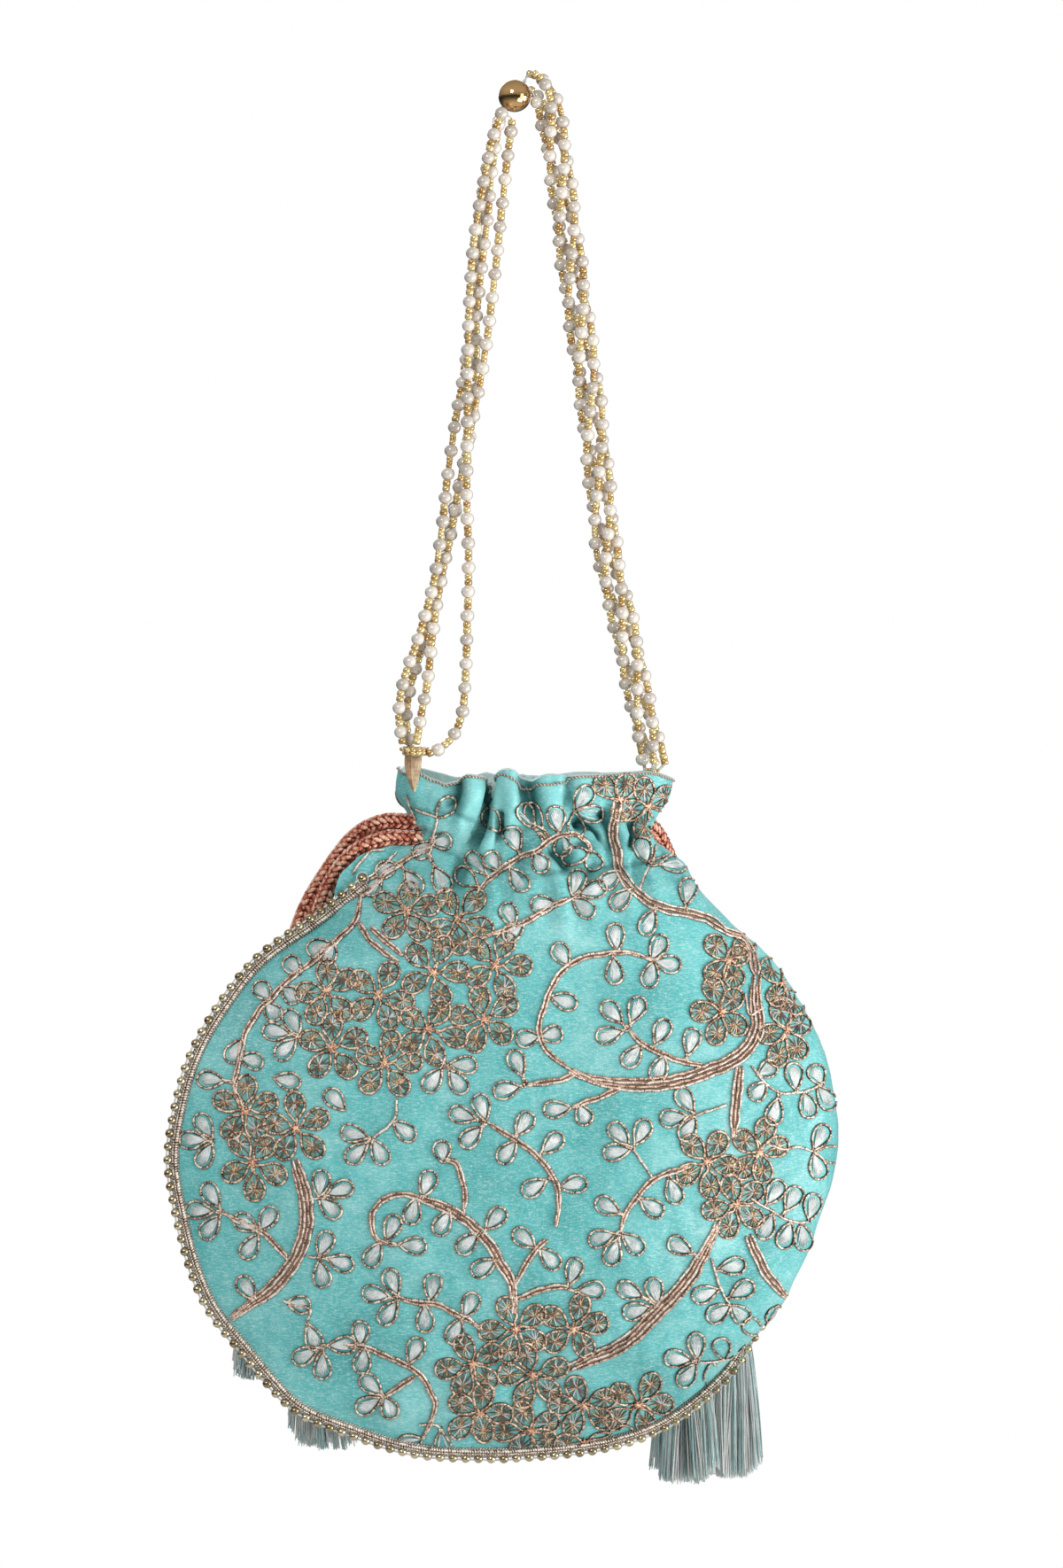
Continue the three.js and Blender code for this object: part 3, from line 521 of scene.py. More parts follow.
# dark thread sunk between a vine's rows: painted shade in the gaps between them
gap_shade_silk = thread_material("gap_shade_silk", lin(172, 150, 134), lin(104, 82, 68), 0.5)
zari_spoke = zari_material("zari_spoke", lin(236, 204, 164), lin(158, 116, 80), lin(72, 48, 32))
dark_floss = thread_material("dark_floss", lin(120, 100, 78), lin(60, 46, 35), 0.5)
petal_ground = thread_material("petal_ground", lin(132, 204, 198), lin(98, 166, 158), 0.5, 0.0, 0.1, (1.0, 1.0, 1))
silver_floss = thread_material("silver_floss", lin(232, 234, 232), lin(150, 162, 158), 0.36, 0.1)
leaf_floss = thread_material("leaf_floss", lin(244, 246, 244), lin(166, 182, 178), 0.36, 0.0, 0.2, (0.35, 2.0, 1))
edging = zari_material("edging_cord", lin(255, 244, 230), lin(176, 146, 122), lin(74, 50, 36), 0.3, 0.34, 0.25)
rim_thread = twisted_material("rim_thread", lin(238, 230, 218), lin(196, 178, 160), lin(134, 110, 92), 1.1, 0.2, 0.38)
white_thread = thread_material("white_thread", lin(240, 238, 230), lin(190, 188, 180), 0.5)
# darker copy of the tan silk: painted shade on the tab's left side
shaded_tab_silk = thread_material("shaded_tab_silk", lin(206, 172, 130), lin(112, 80, 52), 0.36, 0.05, 0.2, (0.25, 2.5, 1))
tan_silk = thread_material("tan_silk", lin(240, 218, 184), lin(160, 124, 88), 0.34, 0.05, 0.2, (0.25, 2.5, 1))
cord_yarn = zari_material("cord_yarn", lin(255, 212, 184), lin(214, 112, 82), lin(112, 46, 30), 0.1, 0.32, 0.03)
# dark core of the cords: painted shade between the stitches
shaded_cord_core = thread_material("shaded_cord_core", lin(104, 46, 32), lin(60, 26, 18), 0.6)
floss_white = thread_material("tassel_white", lin(254, 254, 252), lin(226, 230, 228), 0.4)
floss_aqua = thread_material("tassel_aqua", lin(206, 240, 238), lin(164, 216, 214), 0.4)
floss_silver = thread_material("tassel_silver", lin(250, 250, 244), lin(206, 208, 202), 0.34, 0.05)


def tape_material():
    """Ribbed metallic tape with painted shade along its sunken line."""
    s = Shader("trim_tape", Roughness=0.42, Metallic=0.2)
    xyz = split(s, s.uv())
    ribs = s.math("SINE", s.math("MULTIPLY", s.math("ADD", xyz[0], s.math("MULTIPLY", xyz[1], 0.8)), 7.0))
    speck = s.noise(s.place(), 1500, 2)
    tone = s.ramp(s.mix(0.6, s.range(ribs, -1, 1), speck), (0.25, lin(96, 90, 78)), (0.5, lin(152, 146, 134)), (0.75, lin(214, 210, 200)))
    # painted shade along the sunken line
    line = s.math("ABSOLUTE", s.math("SUBTRACT", xyz[1], 1.8))
    tone = s.mix(s.range(line, 0.12, 0.4, 0.75, 0.0), tone, lin(98, 96, 84))
    return s.set(Base_Color=tone, Normal=s.bump(ribs, 0.0002, 0.6))


def bead_material(name, light, dark, rough, metallic, coat=0.0, wear=0.0, edge=None, edge_from=0.4, edge_share=0.8):
    """A bead's tone varies from bead to bead and in patches, and darkens towards its outline as painted shade."""
    s = Shader(name, Roughness=rough, Metallic=metallic, Coat_Weight=coat, Coat_Roughness=0.06)
    xyz = split(s, s.uv())
    patches = s.noise(s.place(), 620, 3, 0.6)
    tone = s.ramp(s.mix(0.35 + wear, xyz[0], patches), (0.25, dark), (0.72, light))
    if edge is not None:
        # painted shade: a darker rim towards the bead's outline
        tone = s.mix(s.range(s.node("LayerWeight", out=1, Blend=0.5), edge_from, 1.0, 0.0, edge_share), tone, edge)
    return s.set(Base_Color=tone, Normal=s.bump(patches, 0.00025, 0.25 + wear))


tape = tape_material()
# each bead material's last colours give its painted shade at the rim
trim_metal = bead_material("trim_metal", lin(226, 212, 178), lin(154, 136, 102), 0.16, 0.95, 0.0, 0.2, lin(70, 56, 36), 0.4, 0.9)
pearl_skin = bead_material("pearl", lin(233, 224, 212), lin(204, 194, 182), 0.2, 0.05, 1.0, -0.25, lin(150, 138, 124), 0.42, 0.75)
seed_gold = bead_material("seed_gold", lin(255, 230, 158), lin(204, 158, 84), 0.12, 0.4, 0.8, 0.0, lin(128, 86, 36), 0.4, 0.8)
seed_gold.node_tree.nodes["Principled BSDF"].inputs["Transmission Weight"].default_value = 0.25
gold_polish = bead_material("gold_polish", lin(242, 202, 142), lin(222, 174, 112), 0.06, 1.0, 0.3, 0.0, lin(92, 54, 22), 0.2, 0.95)


# ---------- drawstring cords and tassels ----------
def knitted_cord(name, points):
    """Round cord of slanted stitches in six columns, round a core whose dark colour is painted shade between the
    stitches.
    """
    path = spline(points, 0.5)
    t, n, b = carried_frames(path)
    heap = Heap()
    core = np.r_[np.arange(0, len(path) - 2, 3), len(path) - 1]
    # the core shows only between the stitches, dark as painted shade
    tube(heap, path[core], n[core], 3.9, 3.9, 8, slot=1)
    for end, way in ((0, -1), (-1, 1)):  # rounded ends
        beads(heap, [path[end]], [t[end] * way], ball_profile(0.6, 1.95, 4), 8, slot=1)
    total, pitch, columns = route_length(path), 2.1, 6
    at = np.r_[0, np.cumsum(np.linalg.norm(np.diff(path, axis=0), axis=1))]
    profile = np.array([[-1.75, 0.15], [-1.15, 0.68], [0.0, 0.86], [1.15, 0.68], [1.75, 0.15]])
    angle = 2 * np.pi * np.arange(6) / 6
    faces = lathe_faces(len(profile), 6)
    for c in range(columns):
        places = np.linspace(0.9 + (0.3 if c % 2 else 0.0), total - 0.9, int(round((total - 1.8) / pitch)) + 1)
        for k, s in enumerate(places):
            p, tt, nn, bb = (np.array([np.interp(s, at, v[:, i]) for i in range(3)]) for v in (path, t, n, b))
            a = 2 * np.pi * (c + 0.25) / columns
            out, sideways = nn * math.cos(a) + bb * math.sin(a), -nn * math.sin(a) + bb * math.cos(a)
            lean = math.radians(36 if c % 2 else -36)
            way = tt * math.cos(lean) + sideways * math.sin(lean)
            across = np.cross(out, way)
            centre = p + out * 2.05
            ring = centre + way * profile[:, 0, None, None] + (across * np.cos(angle)[:, None] + out * (np.sin(angle) * 0.72)[:, None])[None] * profile[:, 1, None, None]
            uv = np.zeros((len(faces), 4, 2))
            uv[..., 0] = (faces // 6) * 0.7 + 1.7 * k + 40 * c
            uv[..., 1] = (faces % 6) / 6
            heap.add(ring, faces, uv4=uv)
    obj = heap.make(name + "_yarn", [cord_yarn, shaded_cord_core])
    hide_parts(name)
    return obj, path


def tassel(name, top, turn, seed, sway, flare, arc):
    """Thread tassel: a wrapped head, a bound neck and a loose skirt."""
    rnd = np.random.RandomState(seed)
    c, s = math.cos(math.radians(turn)), math.sin(math.radians(turn))

    def place(x, y, below):
        return np.stack([top[0] + x * c - y * s, top[1] + x * s + y * c, top[2] - np.broadcast_to(below, np.shape(x))], -1)

    heap = Heap()
    # head: threads laid over a soft core
    rows = np.array([[0.5, 0.18], [1.2, 0.3], [3, 0.4], [5.5, 0.43], [8, 0.4], [10.6, 0.3]])
    a = 2 * np.pi * np.arange(16) / 16
    core = np.stack([place(TASSEL_HALF[0] * 0.9 * r[1] * np.cos(a), TASSEL_HALF[1] * 0.9 * r[1] * np.sin(a), r[0]) for r in rows])
    heap.add(core, lathe_faces(len(rows), 16)[:, ::-1], slot=0)
    for k in range(38):
        a = 2 * np.pi * (k + 0.5 * rnd.rand()) / 38
        x, y = TASSEL_HALF[0] * rows[:, 1] * math.cos(a), TASSEL_HALF[1] * rows[:, 1] * math.sin(a)
        line = place(x, y, rows[:, 0])
        outward = norm(line - place(np.zeros(len(rows)), np.zeros(len(rows)), rows[:, 0]))
        tube(heap, line, outward, 0.75, 0.6, 4, slot=int(rnd.choice([0, 0, 1, 2])))
    # neck binding: turns of silver thread
    turns, rounds = 72, 6
    a = np.linspace(0, 2 * np.pi * rounds, turns)
    below = np.linspace(8.4, 11.0, turns)
    x, y = (TASSEL_HALF[0] * 0.37 + 0.15) * np.cos(a), (TASSEL_HALF[1] * 0.37 + 0.45) * np.sin(a)
    line = place(x, y, below)
    tube(heap, line, norm(line - place(np.zeros(turns), np.zeros(turns), below)), 0.55, 0.55, 4, slot=2)
    # skirt: strands in loose locks, shorter at the rim of the lower end
    shares = TASSEL_PROFILE[3:]
    locks = 2 * np.pi * np.sort(rnd.rand(9))
    for k in range(420):
        a, r = 2 * np.pi * rnd.rand(), rnd.rand() ** 0.4
        near = locks[np.abs(np.angle(np.exp(1j * (locks - a)))).argmin()]
        pull = 0.32 * np.angle(np.exp(1j * (near - a)))
        wander = 0.22 * (rnd.rand() - 0.5)
        stop = 1 - 0.04 * rnd.rand() ** 1.5 - (arc + 0.04 * math.sin(3 * a + seed)) * (r * abs(math.cos(a))) ** 3
        at = np.linspace(0, 1, 9) * stop
        below = 10.2 + (TASSEL_PROFILE[-1, 0] - 10.6) * at
        share = np.interp(below, shares[:, 0], shares[:, 1]) * r * (1 + (flare + 0.08 * (rnd.rand() - 0.5)) * at ** 2)
        bend = a + pull * at + wander * np.sin(np.pi * at * (0.7 + rnd.rand())) + 0.16 * (rnd.rand() - 0.5) * at
        x, y = TASSEL_HALF[0] * share * np.cos(bend) + sway * at ** 2, TASSEL_HALF[1] * share * np.sin(bend)
        line = place(x, y, below)
        outward = norm(line - place(np.zeros(9), np.zeros(9), below) + 1e-6)
        tube(heap, line, outward, tapered(9, 0.42 + 0.22 * rnd.rand(), 0.6), 0.4, 3, slot=int(rnd.choice([0, 0, 0, 1, 1, 2])))
    obj = heap.make(name + "_threads", [floss_white, floss_aqua, floss_silver])
    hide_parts(name)
    return obj


for number, (cord_name, rows) in enumerate(CORDS.items()):
    cord_piece, cord_path = knitted_cord(cord_name, rows)
    hung = tassel(cord_name.replace("cord", "tassel"), rows[-1], TASSEL_TURN[cord_name], 20 + number, *TASSEL_FLARE[cord_name])


# ---------- cloth ----------
# Creases of the front's neck: depth and half width in mm, then the valley from top to bottom in picture units.
CREASES = [
    (3.4, 1.0, [(554, 882), (551, 894), (549, 906), (548, 920), (545, 932), (540, 946), (536, 958), (529, 972)]),
    (1.7, 0.8, [(566, 912), (565, 930), (564, 954)]),
    (1.9, 1.4, [(517, 878), (516, 894), (512, 908), (506, 920)]),
    (2.2, 1.7, [(594, 880), (597, 896), (600, 914), (603, 936)]),
    (2.0, 1.1, [(646, 930), (660, 933), (671, 942), (678, 962)]),
    (1.5, 1.2, [(648, 950), (660, 956), (668, 968)]),
    (2.0, 1.6, [(674, 912), (685, 932), (690, 952), (694, 974)]),
    (1.8, 1.2, [(711, 924), (712, 946), (708, 966)]),
    (2.4, 1.4, [(618, 956), (633, 969), (649, 982)]),
    (1.0, 1.0, [(642, 878), (642, 896), (640, 916)]),
    (1.0, 1.3, [(736, 924), (741, 940), (752, 964)]),
    (1.1, 1.3, [(530, 966), (522, 984), (512, 1010)]),
    (0.8, 1.3, [(590, 946), (586, 968), (586, 1000)]),
    (0.8, 1.4, [(678, 966), (664, 990), (654, 1012)]),
    (0.7, 1.2, [(480, 930), (478, 946), (470, 962)]),
]
STITCH_LINES = [  # where the channel is sewn, in picture units
    [(470, 917), (500, 918), (514, 919), (528, 926), (548, 934), (568, 937), (606, 936), (626, 935), (650, 926), (676, 920), (690, 921), (712, 928), (735, 934), (765, 938)],
    [(462, 948), (500, 951), (508, 956), (526, 970), (560, 984), (604, 988), (628, 985), (650, 981), (700, 977), (718, 975), (740, 970), (765, 958)],
]
LEFT_LAP = [(0, 0), (219.5, 0), (221.7, 2.4), (223.2, 6.4), (224.6, 10.6), (225.8, 15.2), (227.4, 16.6), (228.9, 16.2), (230.3, 15.6), (232.5, 14.4), (234.3, 12.2), (236.2, 10.0), (238.6, 7.4), (241.5, 3.6), (245.0, 0), (500, 0)]  # depth below the top, mm to the left
RIM_DROP = [  # how far under the cloth's top the rim thread runs: picture column, mm
    (440, 0.3), (548, 0.3), (556, 1.0), (562, 1.5), (570, 1.5), (580, 2.6), (592, 3.1), (600, 2.7), (606, 2.0), (612, 2.7), (620, 3.0), (638, 2.3), (643, 0.4), (800, 0.3),
]


def line_distance(points, line, stretch=(1, 1)):
    """Distance of picture points to a line and the share of the way along it."""
    best, share = np.full(points.shape[:-1], 1e9), np.zeros(points.shape[:-1])
    line = np.asarray(line, float)
    for k in range(len(line) - 1):
        a, d = line[k], line[k + 1] - line[k]
        f = np.clip(((points - a) @ d) / (d @ d), 0, 1)
        gap = np.linalg.norm((points - a - f[..., None] * d) * np.asarray(stretch), axis=-1)
        share = np.where(gap < best, (k + f) / (len(line) - 1), share)
        best = np.minimum(best, gap)
    return best, share


def waves(v, seed, low, high, count=5):
    """Uneven ripple between -1 and 1; low and high bound its wavelengths."""
    r = np.random.RandomState(seed)
    total = sum(np.sin(2 * np.pi * v / (low + (high - low) * r.rand()) + 6.28 * r.rand()) for _ in range(count))
    return total / count ** 0.5 / 1.2


def relief(side, points, t, s):
    """Height of the cloth's small folds over the section curves in mm, the painted shade of how deep in a crease a
    point is, and the painted highlight of how far up on the lobes it is.
    """
    away = smooth(0, 0.05, s) * smooth(0, 0.05, 1 - s)
    x, z = points[..., 0], points[..., 2]
    soft = 0.75 * waves(x + 0.35 * z, 3 + side, 22, 40) * waves(z - 0.2 * x, 9 + side, 24, 46) + 0.2 * waves(x - 0.6 * z, 15, 9, 15) * waves(z + 0.4 * x, 19, 8, 14)
    low = smooth(-236, -262, z)
    height = soft * (0.35 + 0.65 * low)
    # painted shade gathers in the creases and along the stitching, a painted highlight on the lobes and the ruffle
    shade, lobe_highlight = np.zeros(x.shape), np.zeros(x.shape)
    if side < 0:
        p = to_picture(points)
        line_y = [np.interp(p[..., 0], *np.array(line).T) for line in STITCH_LINES]
        for depth, width, line in CREASES:
            gap, share = line_distance(p, line)
            depth, width, gap = depth * 1.5, width * 1.25, gap * PIXEL
            ends = smooth(0, 0.18, share) * smooth(0, 0.3, 1 - share) if line[0][1] > 890 else smooth(0, 0.3, 1 - share) * (0.6 + 0.4 * smooth(0, 0.15, share))
            height = height - depth * ends * (np.exp(-((gap / width) ** 2)) - 0.35 * np.exp(-(((gap - 2.4 * width) / (1.4 * width)) ** 2)))
            # painted shade deep in each crease, a painted highlight on the lobes beside it
            shade = np.maximum(shade, np.minimum(1, 0.36 * depth) * ends * np.exp(-((gap / (1.3 * width)) ** 2)))
            lobe_highlight = lobe_highlight + 0.32 * depth * ends * np.exp(-(((gap - 3.3 * width) / (1.5 * width)) ** 2))
        across, down = p[..., 0], p[..., 1]
    else:
        line_y = [np.full(x.shape, 926.0), np.full(x.shape, 984.0)]
        across, down = 600 + (x + 3) / PIXEL, 124 - z / PIXEL
        for k, middle in enumerate((-30, -17, -4, 3, 14, 27, 36)):
            gap = np.abs(x - middle - 0.12 * (z + 220) * np.sign(middle))
            # painted shade in the back's gathers
            shade = np.maximum(shade, 0.6 * np.exp(-((gap / 1.4) ** 2)) * smooth(1050, 975, down))
            height = height - (1.7 + 0.7 * (k % 2)) * (np.exp(-((gap / 1.2) ** 2)) - 0.4 * np.exp(-(((gap - 2.8) / 1.6) ** 2))) * smooth(1050, 975, down)
    for line in line_y:
        off = down - line
        height = height - 1.0 * np.exp(-((off / 3.0) ** 2))
        # painted shade along the channel's stitching
        shade = np.maximum(shade, (0.3 + 0.25 * waves(across, 71, 18, 40)) * np.exp(-((off / 3.2) ** 2)))
        height = height + 0.5 * waves(across, 31, 15, 26) * np.exp(-((off / 15) ** 2))
    ruffle = smooth(line_y[0] - 2, line_y[0] - 20, down)
    between = smooth(line_y[0] + 3, line_y[0] + 20, down) * smooth(line_y[1] - 3, line_y[1] - 18, down)
    below = smooth(line_y[1], line_y[1] + 14, down) * smooth(line_y[1] + 90, line_y[1] + 20, down)
    spread = across + (across - 600) * np.clip((down - 985) / 150, 0, 1) * -0.35
    height = height + 0.5 * ruffle * waves(across, 43, 26, 46) + 1.0 * between + 1.0 * below * waves(spread, 47, 22, 40)
    # painted highlight on the ruffle and lobes, none where painted shade lies
    lobe_highlight = np.clip(lobe_highlight + 0.35 * ruffle * (0.6 + 0.4 * waves(across, 23, 14, 30)) + 0.12 * below, 0, 1) * (1 - shade)
    return height * away, shade * away, lobe_highlight * away


def grid_normals(p, out):
    du, dv = np.gradient(p, axis=0), np.gradient(p, axis=1)
    n = norm(np.cross(du, dv))
    return n * np.sign((n * out).sum(-1).mean())


def half_grid(side, rows, columns, inset=0.0, last=20.93, first=0.0):
    """Rows are even along the middle of the half; the relief is pressed in along the cloth's normals."""
    dense = np.linspace(first, last, 1500)
    quarter = sum(surface(side, dense, np.full(1500, f), inset)[:, 1:] for f in (0.3, 0.5, 0.7)) / 3
    length = np.r_[0, np.cumsum(np.linalg.norm(np.diff(quarter, axis=0), axis=1))]
    t = np.interp(np.linspace(0, length[-1], rows), length, dense)[:, None]
    edge = np.linspace(0, 1, columns)
    s = (0.72 * edge + 0.28 * (1 - np.cos(np.pi * edge)) / 2)[None, :]
    p = surface(side, t, s, inset)
    t, s = np.broadcast_arrays(t, s)
    if side < 0:
        seen = to_picture(p[0])
        seen_z = -205.5 - (np.interp(seen[:, 0], *RIM_SEEN.T) - 885) * PIXEL * 0.99
        seen_z = np.where(s[0] < 0.04, p[0, :, 2] + (seen_z - p[0, :, 2]) * smooth(0, 0.04, s[0]), seen_z)
        seen_z = np.where(s[0] > 0.96, p[0, :, 2] + (seen_z - p[0, :, 2]) * smooth(0, 0.04, 1 - s[0]), seen_z)
        p[..., 2] += (seen_z - p[0, :, 2])[None, :] * np.clip(1 - t / 2, 0, 1)
    n = grid_normals(p, np.array([0, side, 0.0]))
    h, shade, lobe_highlight = relief(side, p, t, s)
    p = p + n * h[..., None]
    if side < 0:  # the front's cloth lies over the side opening where the left drawstring ends come out
        reach = np.interp(-p[..., 2], *np.array(LEFT_LAP).T)
        p[..., 0] -= reach * np.maximum(0, 1 - s / 0.3) ** 1.6
        p[..., 1] *= 1 - 0.75 * np.minimum(1, reach / 8) * smooth(0.26, 0.06, s)
    p[:, 0, 1] = 0
    p[:, -1, 1] = 0
    p[:, 1:-1, 1] = side * np.maximum(side * p[:, 1:-1, 1], 0.02)
    return p, grid_normals(p, np.array([0, side, 0.0])), shade, lobe_highlight


def cloth_piece(name, side, rows, columns):
    p, n, shade, lobe_highlight = half_grid(side, rows, columns)
    faces = grid_faces(rows, columns)
    if side > 0:
        faces = faces[:, ::-1]
    heap = Heap()
    # the UV carries the painted shade and the painted highlight to the satin
    uv = np.stack([shade, lobe_highlight], -1).reshape(-1, 2)
    heap.add(p, faces, uv4=uv[faces])
    # closing strip at the foot: the last row runs to the bottom point
    foot = np.array([[-7.0, 0, -407.8]])
    last = np.arange(columns - 1)
    tris = np.stack([last, np.full(columns - 1, columns), last + 1], -1)
    heap.add(np.vstack([p[-1], foot]), tris=tris if side < 0 else tris[:, ::-1])
    return heap, p, n, faces, shade


def area_of(p, faces):
    q = p.reshape(-1, 3)[faces]
    return float(0.5 * (np.linalg.norm(np.cross(q[:, 1] - q[:, 0], q[:, 2] - q[:, 0]), axis=1) + np.linalg.norm(np.cross(q[:, 2] - q[:, 0], q[:, 3] - q[:, 0]), axis=1)).sum())


halves = {}
for cloth_name, cloth_side, cloth_rows, cloth_columns in (("front_panel", -1, 210, 220), ("back_panel", 1, 120, 120)):
    heap, p, n, faces, shade = cloth_piece(cloth_name, cloth_side, cloth_rows, cloth_columns)
    piece = heap.make(cloth_name + "_satin", [satin])
    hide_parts(cloth_name)
    halves[cloth_side] = (p, n, faces, shade)

# Lining: seen through the mouth, joined to the outer cloth over the rim.
lining = Heap()
lining_area = 0.0
for side in (-1, 1):
    inner, _, _, _ = half_grid(side, 44, 90, 1.4, 19.0)
    # the lining hangs clear of the outer cloth's creases
    depth = side * inner[..., 1]
    least = np.min([np.roll(depth, k, axis=1) for k in range(-3, 4)], axis=0)
    least = np.maximum(np.minimum(least, np.roll(least, 1, axis=0)) - 0.9, 0.02)
    hang = np.clip(np.arange(44) / 2, 0, 1)[:, None]
    inner[..., 1] = side * (depth + (least - depth) * hang)
    inner[1:, 0, 1] = inner[1:, -1, 1] = 0
    faces = grid_faces(44, 90)
    faces = faces if side > 0 else faces[:, ::-1]
    lining.add(inner, faces, uv4=np.zeros((len(faces), 4, 2)))
    outer_top = evenly(halves[side][0][0], count=90)
    inner_top = evenly(inner[0], count=90)
    outer_next = evenly(halves[side][0][1], count=90)
    middle = (outer_top + inner_top) / 2 + np.array([0, 0, 0.55])
    over = np.stack([outer_top, middle, inner_top])
    faces = grid_faces(3, 90)
    faces = faces if side > 0 else faces[:, ::-1]
    lining.add(over, faces, uv4=np.zeros((len(faces), 4, 2)))
    lining_area += area_of(inner, grid_faces(44, 90)) + area_of(over, grid_faces(3, 90))
lining_piece = lining.make("lining_satin_cloth", [lightened_lining_satin])
print("lining area m2", round(lining_area * MM * MM, 5))


